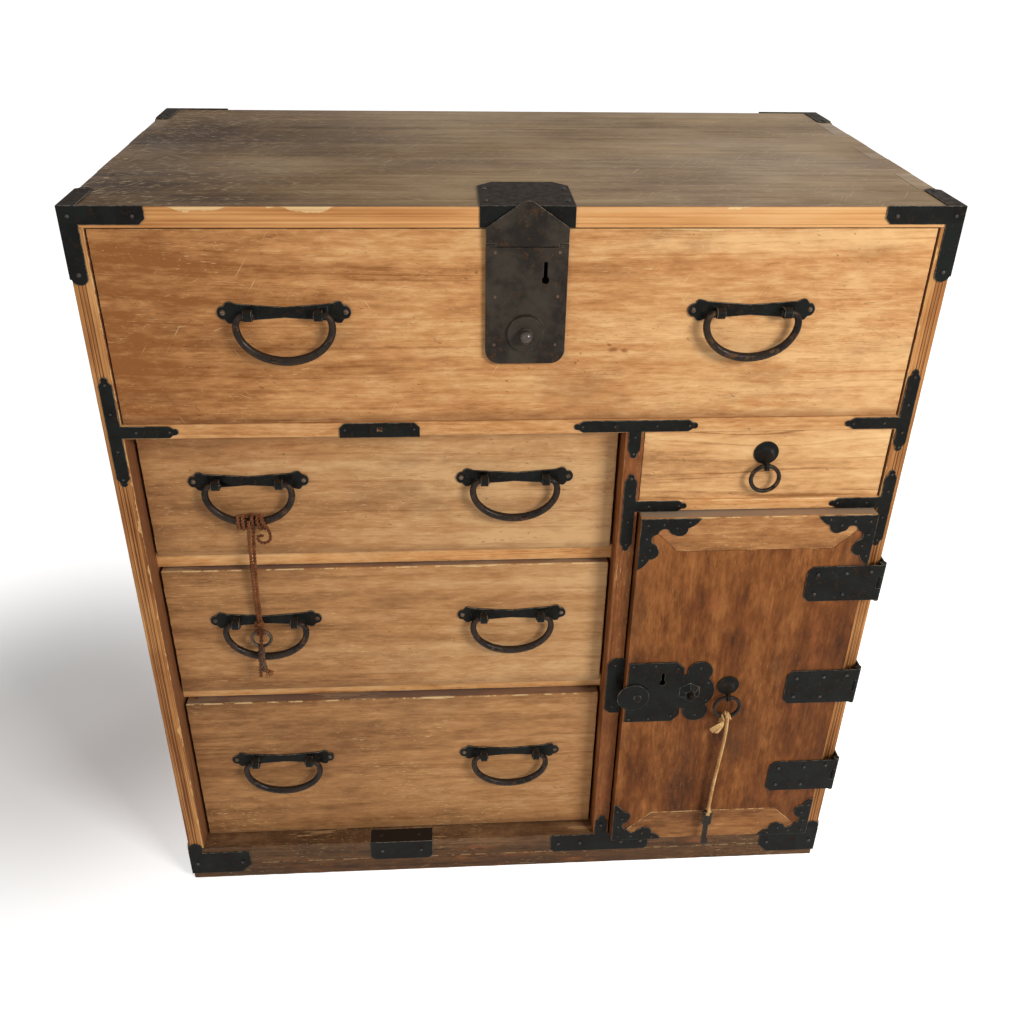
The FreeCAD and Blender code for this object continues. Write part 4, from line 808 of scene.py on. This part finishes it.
def rope_tree():
    """Twisted strands along a line: the profile turns as it goes."""
    tree = Tree("rope", (
        ("Radius", "NodeSocketFloat"), ("Strands", "NodeSocketInt"), ("Strand Share", "NodeSocketFloat"),
        ("Turns", "NodeSocketFloat"), ("Finish", "NodeSocketMaterial"),
    ))
    radius, strands, share = (tree.given[name] for name in ("Radius", "Strands", "Strand Share"))
    line = tree.add("GeometryNodeMeshToCurve", {"Mesh": tree.given["Geometry"]})
    step = tree.math("MULTIPLY", radius, rope_step_share)
    even = tree.add("GeometryNodeResampleCurve", {"Curve": line["Curve"], "Length": step}, mode="LENGTH")
    along = tree.add("GeometryNodeSplineParameter")
    place = tree.add("GeometryNodeInputPosition")
    uneven = tree.add("ShaderNodeTexNoise", {"Vector": place[0], "Scale": 90})
    turn = tree.math("MULTIPLY", tree.math("MULTIPLY", along["Length"], tree.given["Turns"]), math.tau)
    turn = tree.math("ADD", turn, tree.math("MULTIPLY", uneven["Fac"], rope_unevenness))
    tilt = tree.add("GeometryNodeSetCurveTilt", {"Curve": even["Curve"], "Tilt": turn})
    order = tree.add("GeometryNodeInputIndex")
    angle = tree.math("MULTIPLY", tree.math("DIVIDE", order[0], strands), math.tau)
    apart = tree.math("MULTIPLY", radius, tree.math("SUBTRACT", 1.0, share))
    seat = tree.add("ShaderNodeCombineXYZ", {
        "X": tree.math("MULTIPLY", tree.math("COSINE", angle), apart),
        "Y": tree.math("MULTIPLY", tree.math("SINE", angle), apart),
    })
    ring = tree.add("GeometryNodePoints", {"Count": strands, "Position": seat[0]})
    width = tree.math("MULTIPLY", radius, share)
    strand = tree.add("GeometryNodeCurvePrimitiveCircle", {"Resolution": 10, "Radius": width})
    spread = tree.add("GeometryNodeInstanceOnPoints", {"Points": ring[0], "Instance": strand["Curve"]})
    profile = tree.add("GeometryNodeRealizeInstances", {"Geometry": spread["Instances"]})
    tube = tree.add("GeometryNodeCurveToMesh", {
        "Curve": tilt["Curve"], "Profile Curve": profile["Geometry"], "Fill Caps": True,
    })
    return tree.finished(tube["Mesh"])


# Cords: a smooth middle line, and twisted strands laid along it
def curve_mesh(name, routes, radius=0.0, steps=24):
    """NURBS splines with the routes as their control points, read back as bare lines or as round threads."""
    curve = bpy.data.curves.new(name, "CURVE")
    curve.dimensions = "3D"
    curve.resolution_u = steps
    curve.bevel_depth = radius
    curve.bevel_resolution = 2
    curve.use_fill_caps = radius > 0
    for points in routes:
        spline = curve.splines.new("NURBS")
        spline.points.add(len(points) - 1)
        for control, place in zip(spline.points, points):
            control.co = (*place, 1.0)
        spline.order_u = 3
        spline.use_endpoint_u = True
    return read_back(placed(name + "_line", curve))


def rope(name, points, radius, strands, share, turns, tree, material):
    """Twisted strands along a route, with the path of their middle line. Turns are counted in a metre."""
    line = curve_mesh(name, [points])
    path = [vertex.co.copy() for vertex in line.vertices]
    values = {"Radius": radius, "Strands": strands, "Strand Share": share, "Turns": turns, "Finish": material}
    return through_tree(name, line, tree, values), path


def threads(name, routes, radius, material):
    """Loose single threads, such as the frayed end of a cord."""
    mesh = curve_mesh(name, routes, radius, 6)
    mesh.materials.clear()
    mesh.materials.append(material)
    mesh.polygons.foreach_set("use_smooth", [True] * len(mesh.polygons))
    return placed(name, mesh)


def wound(middle, axis, radius, pitch, turns, start=0.0):
    """Control points of a cord wound round a bar: a helix about the axis through the middle."""
    axis = Vector(axis).normalized()
    side = axis.orthogonal().normalized()
    up = axis.cross(side)
    reach = radius / math.cos(math.pi / winding_steps)
    points = []
    for step in range(round(turns * winding_steps) + 1):
        turn = start + math.tau * step / winding_steps
        along = pitch * (step / winding_steps - turns / 2)
        points.append(Vector(middle) + axis * along + (side * math.cos(turn) + up * math.sin(turn)) * reach)
    return points


# The tie hangs from the bail's grip, the key from the door ring's lower bend
winding_steps = 12
ring_seat = 2 * mm
bail_wire = 4.8 * mm
ring_wire = 2.5 * mm
tie_radius = 2.5 * mm
tie_strand = 2.1 * mm
hitch_strand = 2.6 * mm
tie_tail_radius = 4.8 * mm
key_cord_radius = 2.5 * mm
key_strand = 1.7 * mm
tie_route = [
    (-0.308, -0.2426, 0.584),
    (-0.309, -0.2426, 0.6026),
    (-0.310, -0.2264, 0.6026),
    (-0.311, -0.2264, 0.584),
    (-0.312, -0.231, 0.566),
    (-0.3135, -0.234, 0.535),
    (-0.315, -0.233, 0.505),
    (-0.3162, -0.2296, 0.474),
    (-0.3165, -0.2274, 0.442),
    (-0.3175, -0.245, 0.408),
    (-0.321, -0.2454, 0.388),
    (-0.322, -0.245, 0.370),
]
tie_second_route = [
    (-0.3125, -0.2425, 0.6000),
    (-0.3145, -0.2423, 0.5840),
    (-0.3160, -0.2365, 0.5640),
    (-0.3175, -0.2350, 0.5350),
    (-0.3190, -0.2340, 0.5050),
    (-0.3198, -0.2312, 0.4740),
    (-0.3190, -0.2300, 0.4430),
]
tie_hook_route = [
    (-0.3020, -0.2300, 0.6000),
    (-0.3000, -0.2385, 0.6025),
    (-0.2945, -0.2420, 0.5960),
    (-0.2890, -0.2425, 0.5830),
    (-0.2900, -0.2425, 0.5730),
    (-0.2985, -0.2425, 0.5690),
    (-0.3050, -0.2425, 0.5740),
    (-0.3035, -0.2430, 0.5815),
    (-0.2970, -0.2440, 0.5810),
]
tie_tail_route = [
    (-0.3168, -0.2436, 0.4150),
    (-0.3178, -0.2448, 0.4040),
    (-0.3180, -0.2450, 0.3920),
    (-0.3165, -0.2450, 0.3800),
]
tie_fray_root = Vector((-0.3163, -0.2450, 0.3805))
tie_fray_ends = [(9, 5), (10.5, 7.5), (8.5, 9.5), (5.5, 11), (2, 11.5), (11.5, 3)]
key_route = [
    (0.277, -0.268, 0.290),
    (0.280, -0.2679, 0.3092),
    (0.282, -0.2791, 0.3092),
    (0.283, -0.279, 0.290),
    (0.283, -0.2775, 0.262),
    (0.281, -0.2765, 0.225),
    (0.2785, -0.2763, 0.185),
    (0.2773, -0.2765, 0.150),
    (0.277, -0.2765, 0.131),
]
key_fray_root = Vector((0.2775, -0.2800, 0.3000))
key_fray_ends = [
    (-17, 13), (-15.5, 15.5), (-13.5, 17.5), (-11.5, 16.5), (-9.5, 19), (-7.5, 18), (-6, 19.5), (-16, 11),
]


def length_of(path):
    return sum((b - a).length for a, b in zip(path, path[1:]))


def frayed(root, ends):
    """Routes of threads that fan out from one place. Each end is a step right and down in millimetres."""
    routes = []
    for order, (right, down) in enumerate(ends):
        end = root + Vector((right, -0.4 * (order % 3), -down)) * mm
        bow = Vector((0.12 * down, -0.8, 0.15 * abs(right))) * mm
        routes.append([root, root.lerp(end, 0.35) + bow, root.lerp(end, 0.7) + bow * 0.7, end])
    return routes


def cord_finish(name, dark, light):
    finish = Finish(name)
    fibre = finish.noise(finish.scaled(finish.place, (900, 900, 500), (0, 35, 0)), 1.0, 3.0, 0.6)
    soil = finish.noise(finish.place, 40, 3.0, 0.6)
    tone = finish.plus(finish.times(fibre, 0.6), finish.times(soil, 0.4))
    colour = finish.mix(finish.span(tone, 0.35, 0.68), linear(*dark), linear(*light))
    finish.bumps((fibre, 0.4 * mm))
    return finish.surface(colour, 0.9, specular=0.2)


def tie_on(piece, body):
    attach(piece, body)
    return piece.name


def hang(piece, path, node, body):
    """A cord in the place of its solid: it rides on the body, and the solid is hidden."""
    tie_on(piece, body)
    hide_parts(node)
    tuple(path[0])
    length_of(path)
    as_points(path)


def add_tie(tree):
    dark = cord_finish("tie_cord", (66, 36, 22), (160, 100, 62))
    tired = cord_finish("tie_cord_end", (66, 46, 36), (132, 102, 78))
    tie, path = rope("tie_cord_rope", tie_route, tie_radius, 2, 0.54, 105, tree, dark)
    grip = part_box("upper_drawer_bail_left")
    level = grip[0].z + bail_wire
    depth = (grip[0].y + grip[1].y) / 2
    ring_low, ring_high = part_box("cord_ring")
    ring_top = (ring_low + ring_high) / 2
    ring_top.z = ring_high.z - ring_seat
    around = bail_wire + hitch_strand
    left_hitch = (-0.3210, depth, level + 0.6 * mm)
    right_hitch = (-0.2990, depth, level)
    neck = ring_top + Vector((-1.5, 5.5, 6.5)) * mm
    parts = {
        "tie_second_strand": tie_second_route,
        "tie_hitch_left": wound(left_hitch, (1, 0, -0.12), around, pitch=5.6 * mm, turns=1.9, start=1.0),
        "tie_hitch_right": wound(right_hitch, (1, 0, 0.1), around, pitch=5.4 * mm, turns=1.6, start=0.4),
        "tie_hook": tie_hook_route,
        "tie_ring_knot": wound(ring_top, (1, 0, 0.1), 4.1 * mm, pitch=3.9 * mm, turns=2.6, start=0.5),
        "tie_neck_knot": wound(neck, (0, 0.1, 1), 4.6 * mm, pitch=3.6 * mm, turns=1.8),
    }
    names = [frame_name("cord_ring")]
    for name, points in parts.items():
        on_grip = "hitch" in name
        piece, _ = rope(name, points, hitch_strand if on_grip else tie_strand, 2, 0.56, 130, tree, dark)
        names.append(tie_on(piece, "upper_drawer_bail_left" if on_grip else "tie_on_bail"))
    tail, _ = rope("tie_tail", tie_tail_route, tie_tail_radius, 4, 0.44, 50, tree, tired)
    fray = threads("tie_frayed_end", frayed(tie_fray_root, tie_fray_ends), 0.7 * mm, dark)
    names += [tie_on(piece, "tie_on_bail") for piece in (tail, fray)]
    hang(tie, path, "tie_cord", "tie_on_bail")


def add_key_cord(tree):
    tan = cord_finish("key_cord", (178, 126, 74), (240, 202, 140))
    hanger, path = rope("key_cord_rope", key_route, key_cord_radius, 3, 0.47, 70, tree, tan)
    ring_low, ring_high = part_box("door_ring")
    bend = (ring_low + ring_high) / 2
    bend.x += 0.4 * mm
    bend.z = ring_low.z + ring_wire
    around = ring_wire + 2.0 * mm
    eye = Vector(key_route[-1]) + Vector((0, 0, -2.2 * mm))
    parts = {
        "key_cord_hitch": wound(bend, (1, 0, 0.15), around, pitch=4.4 * mm, turns=2.4, start=0.8),
        "key_cord_loop": wound(eye, (1, 0, 0), 4.3 * mm, pitch=2.6 * mm, turns=2.0, start=2.0),
    }
    for name, points in parts.items():
        piece, _ = rope(name, points, key_strand, 2, 0.56, 120, tree, tan)
        tie_on(piece, "key_on_cord")
    fray = threads("key_cord_frayed_end", frayed(key_fray_root, key_fray_ends), 0.85 * mm, tan)
    tie_on(fray, "key_on_cord")
    hang(hanger, path, "key_cord", "key_on_cord")


# The chest's own finishes and pieces
tan_tones = (linear(146, 92, 48), linear(200, 143, 89), linear(232, 186, 130))
# Darker tones than the top drawer's, for the fronts below it.
darker_front_tones = (linear(134, 92, 56), linear(182, 132, 84), linear(212, 168, 118))
top_tones = (linear(66, 46, 30), linear(126, 100, 70), linear(174, 148, 112))
edge_tones = (linear(158, 98, 50), linear(214, 156, 98), linear(238, 192, 136))
side_tones = (linear(118, 68, 34), linear(178, 120, 68), linear(218, 164, 104))
sill_tones = (linear(56, 38, 26), linear(98, 70, 46), linear(138, 104, 72))
base_tones = (linear(50, 34, 22), linear(90, 62, 40), linear(132, 96, 64))
door_tones = (linear(58, 30, 13), linear(112, 64, 30), linear(160, 102, 55))
batten_tones = (linear(112, 70, 38), linear(166, 114, 68), linear(208, 158, 104))
divider_tones = (linear(88, 50, 26), linear(134, 80, 42), linear(172, 116, 70))
inner_tones = (linear(120, 80, 48), linear(168, 120, 74), linear(200, 154, 106))
back_tones = (linear(92, 68, 46), linear(132, 102, 72), linear(166, 134, 98))
worn_top = linear(196, 172, 134)
worn_sill = linear(190, 152, 106)
figured_tones = (linear(150, 104, 60), linear(214, 162, 108), linear(238, 198, 142))

handled_drawers = ("top", "upper", "middle", "lower")

# Where the chest's faces lie: the height of the top, and the others along the depth
top_height = 0.966
case_front = -0.2485
inner_rail_front = -0.21
top_drawer_face = -0.2465
left_drawer_face = -0.2225
small_drawer_face = -0.2455
door_face = -0.2635
left_end = -0.45
top_seed = 11
top_scratch_turns = (35, 118, 160)
top_edge_shade = (-0.248, -0.225)
top_edge_slack = 0.8 * mm
small_chip_depth = 4 * mm
large_chip_depth = 6 * mm
side_grooves = (9.5 * mm, 13.0 * mm, 16.8 * mm)
groove_wander = 2.2 * mm
groove_width = (0.25 * mm, 0.75 * mm)
side_flake_reach = (0.6 * mm, 5.0 * mm)
side_slack = 0.4 * mm
side_head_slack = 1.2 * mm

# A keyhole's place along and up the face, and half the width that its shade may take
top_keyhole = (0.024, 0.891)
door_keyhole = (0.1935, 0.3565)
keyhole_reach = 18 * mm

# Knots of the top drawer's front: along and up the face, and the reach of each, in millimetres
top_drawer_knots = ((100, 812, 6.5), (113, 811, 6), (96, 818, 4), (-47, 898, 3.5), (60, 797, 3))

# Flakes broken off the top's front edge: the middle of each along the chest, and half its length
top_chips = ((-322 * mm, 30 * mm), (-214 * mm, 27 * mm))


def top_face(finish, board, seed):
    """The dark face of the top: rubbed in patches, with fine pale scratches thickest by the left end."""
    x, y, _ = finish.parts(finish.place)
    streak = finish.stretched(board, (3, 90, 1), (seed, 0, 0), 4.0, 0.65)
    cloud = finish.stretched(board, (3, 6, 1), (seed, 4, 0), 5.0, 0.65)
    tone = finish.weigh((streak, 0.55), (cloud, 1.2))
    # Painted light: the top grows lighter towards the right, where the sheen falls.
    tone = finish.plus(tone, finish.span(x, left_end, 0.0, -0.20, 0.12))
    colour = finish.ramp(tone, (0.18, 0.5, 0.82), top_tones)
    near_end = finish.span(x, left_end, -0.20, 1.0, 0.45)
    fine = flecks(finish, board, 90, 520, 0.66, seed + 2, 0, 0.42)
    for turn in top_scratch_turns:
        fine = finish.most(fine, flecks(finish, board, 22, 640, 0.69, seed + turn, turn, 0.45))
    colour = finish.mix(finish.times(fine, near_end), colour, worn_top)
    by_edge = finish.span(y, *top_edge_shade, 0.5, 0.0)
    return finish.mix(finish.times(by_edge, finish.span(cloud, 0.45, 0.6)), colour, top_tones[0])


def top_front(finish, base, board):
    """The top board's front edge is bare light wood with fine dark lines and pale chips along its arris."""
    x, y, z = finish.parts(finish.place)
    low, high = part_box("top_board")
    on_edge = finish.below(y, low.y + top_edge_slack)
    fine = finish.noise(finish.joined(finish.times(x, 2.0), finish.times(z, 380), 0.0), 1.0, 3.0, 0.6)
    broad = finish.stretched(finish.place, (6, 1, 60))
    tone = finish.weigh((fine, 0.8), (broad, 0.5))
    # Painted light: the edge grows lighter towards the right.
    tone = finish.plus(tone, finish.span(x, left_end, -left_end, -0.12, 0.12, smooth=False))
    light = finish.ramp(tone, (0.2, 0.5, 0.8), edge_tones)
    broken = finish.stretched(finish.place, (30, 1, 60))
    depth = finish.span(broken, 0.60, 0.70, 0.0, small_chip_depth)
    uneven = finish.span(broken, 0.35, 0.62, 0.5, 1.2)
    for middle, reach in top_chips:
        off = finish.math("ABSOLUTE", finish.minus(x, middle))
        bite = finish.times(finish.span(off, reach * 0.4, reach, large_chip_depth, 0.0), uneven)
        depth = finish.most(depth, bite)
    gap = finish.minus(high.z, z)
    chip = finish.times(finish.below(gap, depth), finish.span(fine, 0.3, 0.6, 0.45, 0.9))
    light = finish.mix(chip, light, linear(238, 204, 150))
    return finish.mix(on_edge, top_face(finish, board, top_seed), light)


def side_fronts(finish, base, board):
    """The sides' front edges: strips with dark grooves between, and eroded lines in the outer one."""
    x, y, z = finish.parts(finish.place)
    low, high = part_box("right_side")
    out = finish.minus(finish.math("ABSOLUTE", x), low.x)
    on_front = finish.below(y, low.y + side_slack)
    wobble = finish.stretched(finish.place, (0, 0, 5), detail=2.0, roughness=0.5)
    place = finish.plus(out, finish.times(wobble, groove_wander))
    lines = finish.joined(finish.times(place, 520), 0.0, finish.times(z, 3))
    fine = finish.noise(lines, 1.0, 2.0, 0.6)
    tone = finish.weigh((fine, 1.5), (finish.stretched(finish.place, (30, 1, 9), detail=4.0), 0.8))
    light = finish.ramp(tone, (0.2, 0.52, 0.84), side_tones)
    for groove in side_grooves:
        near = finish.math("ABSOLUTE", finish.minus(place, groove))
        light = finish.mix(finish.span(near, *groove_width, 0.85, 0.0), light, linear(70, 38, 20))
    broken = finish.stretched(finish.place, (60, 1, 30), detail=4.0, roughness=0.65)
    flake = finish.below(out, finish.span(broken, 0.48, 0.72, *side_flake_reach))
    flake = finish.times(flake, finish.span(broken, 0.48, 0.58, 0.15, 0.7))
    light = finish.mix(flake, light, linear(226, 182, 118))
    # Painted shade: the sides' inner faces, in the recess beside the drawers, are darkened.
    inner_face = finish.below(out, side_slack)
    shaded = finish.mix(finish.times(inner_face, 0.75), base, linear(104, 66, 46))
    on_top = finish.above(z, high.z - side_head_slack)
    shaded = finish.mix(on_top, shaded, top_face(finish, finish.place, top_seed))
    return finish.mix(on_front, shaded, light)


def add_boards():
    top = wood("top_wood", "top", top_tones, dict(heart=-0.1, depth=0.3, face=top_height), seed=top_seed,
               rim=0.6, roughness=0.58, sheen=0.06, after=top_front)
    board("top_board", "top_wood", top, edge=1.6, wear=0.6, chips=1.6, seed=3)
    side = wood("side_wood", "side", side_tones, dict(heart=0.25, depth=0.4), seed=21, line=0.3,
                after=side_fronts)
    board("left_side", "side_wood", side, edge=1.0, wear=0.6, chips=1.2, seed=5)
    board("right_side", "side_wood", side, edge=1.0, wear=0.5, chips=0.8, seed=8)
    worn_edge = dict(colour=worn_sill, strength=0.5, level=0.63)
    sill = wood("sill_wood", "x", sill_tones, dict(heart=0.3, face=case_front), seed=31, stain=0.5, rim=0.25,
                after=chipped("base_rail", ("head", "foot"), reach=4 * mm, **worn_edge))
    board("base_rail", "sill_wood", sill, edge=1.5, wear=0.8, seed=9)
    base = wood("base_wood", "x", base_tones, dict(heart=0.4, face=case_front), seed=33, stain=0.5, rim=0.25,
                after=chipped("base_board", ("foot",), reach=5 * mm, **worn_edge))
    board("base_board", "base_wood", base, edge=2.0, wear=0.8, chips=1.4, seed=10)
    rail = wood("rail_wood", "x", tan_tones, dict(heart=-0.2, depth=0.3, face=case_front), seed=35, line=0.25,
                band=0.8)
    board("upper_rail", "rail_wood", rail, edge=1.0, wear=0.4, seed=12)
    divider = wood("divider_wood", "z", divider_tones, dict(heart=0.0, face=case_front), seed=37, rim=0.5)
    board("centre_divider", "divider_wood", divider, edge=1.5, wear=0.4, seed=13)
    back = wood("back_wood", "x", back_tones, dict(heart=0.5, depth=0.05), seed=39, band=0.9)
    board("back_planks", "back_wood", back, edge=1.8, wear=0.3, step=12, seed=14)
    lit_rail = wood("lit_rail_wood", "x", edge_tones, dict(heart=-0.3, depth=0.3, face=inner_rail_front),
                    seed=43, line=0.3, band=0.8, stain=0.2)
    plain_board("inner_rails", "rail_wood", lit_rail, edge=1.0)
    inner = wood("inner_wood", "x", inner_tones, dict(heart=0.3), seed=41, pale=0.2)
    plain_board("dust_boards", "inner_wood", inner)
    for drawer in (*handled_drawers, "small"):
        plain_board(drawer + "_drawer_box", "inner_wood", inner)


def add_drawer_fronts():
    near_left, near_right = -0.45, 0.15
    # Each front's tint makes it lighter towards the right: painted light, as if lit more strongly from the
    # right.
    looks = {
        "top": dict(
            tones=tan_tones,
            rings=dict(heart=0.80, depth=0.03, face=top_drawer_face, wander=0.06, slope=0.04),
            tint=slope_tint("x", near_left, 0.20, -0.30, 0.16), scored=0.55, stain=0.3,
        ),
        "upper": dict(
            tones=darker_front_tones, rings=dict(heart=0.42, depth=0.05, face=left_drawer_face, slope=0.03),
            tint=slope_tint("x", near_left, near_right, -0.10, 0.32), scored=0.3,
        ),
        "middle": dict(
            tones=darker_front_tones, rings=dict(heart=0.20, depth=0.05, face=left_drawer_face, slope=0.03),
            tint=slope_tint("x", near_left, near_right, -0.18, 0.24),
        ),
        "lower": dict(
            tones=darker_front_tones, rings=dict(heart=-0.05, depth=0.04, face=left_drawer_face),
            tint=slope_tint("x", near_left, near_right, -0.18, 0.06), pale=0.7,
        ),
    }
    for order, (drawer, values) in enumerate(looks.items()):
        node = drawer + "_drawer_front"
        changes = [
            grimy_foot(node, reach=14 * mm, strength=0.35),
            chipped(node, ("head",), reach=3 * mm, strength=0.6),
            grey_head(node),
        ]
        if drawer == "top":
            changes += [knots(top_drawer_knots), keyhole_shade(top_keyhole, keyhole_reach)]
        finish = wood(node + "_wood", "x", seed=50 + order * 3, after=chain(*changes), **values)
        board(node, "drawer_wood", finish, edge=1.3, wear=0.6, chips=0.8, seed=20 + order)
    swirls = dict(heart=0.645, depth=0.02, face=small_drawer_face, wander=0.16, slope=0.10)
    figured = wood("figured_wood", "x", figured_tones, swirls, seed=71, band=1.0, line=0.3,
                   after=chipped("small_drawer_front", ("foot", "left"), reach=8 * mm,
                                 colour=linear(240, 206, 150), strength=0.6))
    board("small_drawer_front", "figured_wood", figured, edge=1.6, wear=0.8, chips=1.0, seed=30)


def add_door():
    panel = wood("door_wood", "z", door_tones, dict(heart=0.33, depth=0.06, face=door_face, wander=0.08),
                 seed=81, band=0.4, line=0.04, fibre=0.4, blotch=1.2, pale=0.12, dark=0.5, stain=0.45,
                 roughness=0.5, sheen=0.1, tint=slope_tint("z", 0.05, 0.60, -0.08, 0.06),
                 after=keyhole_shade(door_keyhole, keyhole_reach))
    board("door_boards", "door_wood", panel, edge=0.8, wear=0.2, seed=40)
    grey_top = grey_head("door_battens", reach=3 * mm, colour=linear(146, 128, 108), strength=0.95)
    batten = wood("batten_wood", "x", batten_tones, dict(heart=0.5, face=door_face), seed=83, line=0.06,
                  blotch=1.0, tint=slope_tint("z", 0.12, 0.60, -0.26, 0.0), after=grey_top)
    board("door_battens", "batten_wood", batten, edge=1.0, wear=0.5, seed=41)


# Two nails hold the socket plate's leg on the sill, driven in almost flush under the lower drawer
sill_nail_radius = 3.2 * mm
sill_nail_height = 0.19 * mm
sill_nails = [
    (Vector((x, -0.2372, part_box("base_rail")[1].z)), sill_nail_radius, sill_nail_height, Vector((0, 0, 1)))
    for x in (-0.184, -0.130)
]

black_irons = (
    "corner_straps", "tee_straps", "lock_bar_plates", "lock_strikes", "hinge_case_leaves", "hinge_pins",
    "hinge_door_leaves", "door_corner_irons", "door_lock_plate", "door_ring_mount", "door_lock_knob",
    "door_bolt", "door_turn_disc", "top_lock_bolt", "small_drawer_ring_mount",
    *(drawer + "_drawer_handle_mounts" for drawer in handled_drawers),
)

# These pass close by a neighbour when they or it move, so their outlines stay almost true
close_fits = ("tee_straps", "door_turn_disc", "door_lock_plate")
true_outline = 0.04


def add_irons():
    dark = iron("black_iron", linear(9, 9, 7), linear(20, 23, 21), linear(74, 54, 40), rust_share=0.35,
                specular=0.1, speck=0.5, edge=0.7)
    for node in black_irons:
        true = node in close_fits or "handle" in node
        forged(node, "black_iron", dark, uneven=true_outline if true else 0.12)
    brown = iron("brown_iron", linear(34, 29, 25), linear(60, 53, 45), linear(92, 66, 46), rust_share=0.4,
                 speck=0.55, edge=1.0)
    for node in ("top_lock_plate", "top_lock_hasp"):
        forged(node, "brown_iron", brown, edge=0.7, uneven=true_outline)
    # The top lock's knob: a lighter, glossier iron; its lighter colour is a painted highlight.
    handled = iron("handled_iron", linear(38, 32, 28), linear(78, 68, 58), linear(96, 70, 50), rust_share=0.4,
                   roughness=0.26, specular=0.5)
    forged("top_lock_knob", "brown_iron", handled, uneven=true_outline)
    worn = iron("handle_iron", linear(17, 12, 9), linear(44, 32, 23), linear(104, 74, 50), rust_share=0.7,
                roughness=0.3, specular=0.16)
    for drawer in handled_drawers:
        for side in ("left", "right"):
            bar(drawer + "_drawer_bail_" + side, "handle_iron", worn)
    bar("door_ring", "handle_iron", worn)
    bar("small_drawer_ring", "handle_iron", worn)
    grey = iron("grey_iron", linear(50, 42, 36), linear(88, 78, 68), linear(104, 78, 56), rust_share=0.5,
                roughness=0.3, metallic=0.6, specular=0.5, speck=0.4)
    bar("cord_ring", "rusty_iron", grey)
    key = iron("key_iron", linear(34, 28, 24), linear(52, 44, 36), linear(96, 66, 44))
    forged("door_key", "key_iron", key, uneven=0.05)
    heads = iron("nail_iron", linear(26, 26, 24), linear(58, 55, 50), linear(92, 68, 50), rust_share=0.5,
                 roughness=0.3, metallic=0.2, specular=0.4)
    nails = nail_tree()
    nail_heads("case_nails", "black_iron", heads, nails, extra=sill_nails)
    nail_heads("door_nails", "black_iron", heads, nails)


add_boards()
add_drawer_fronts()
add_door()
add_irons()
ropes = rope_tree()
add_tie(ropes)
add_key_cord(ropes)
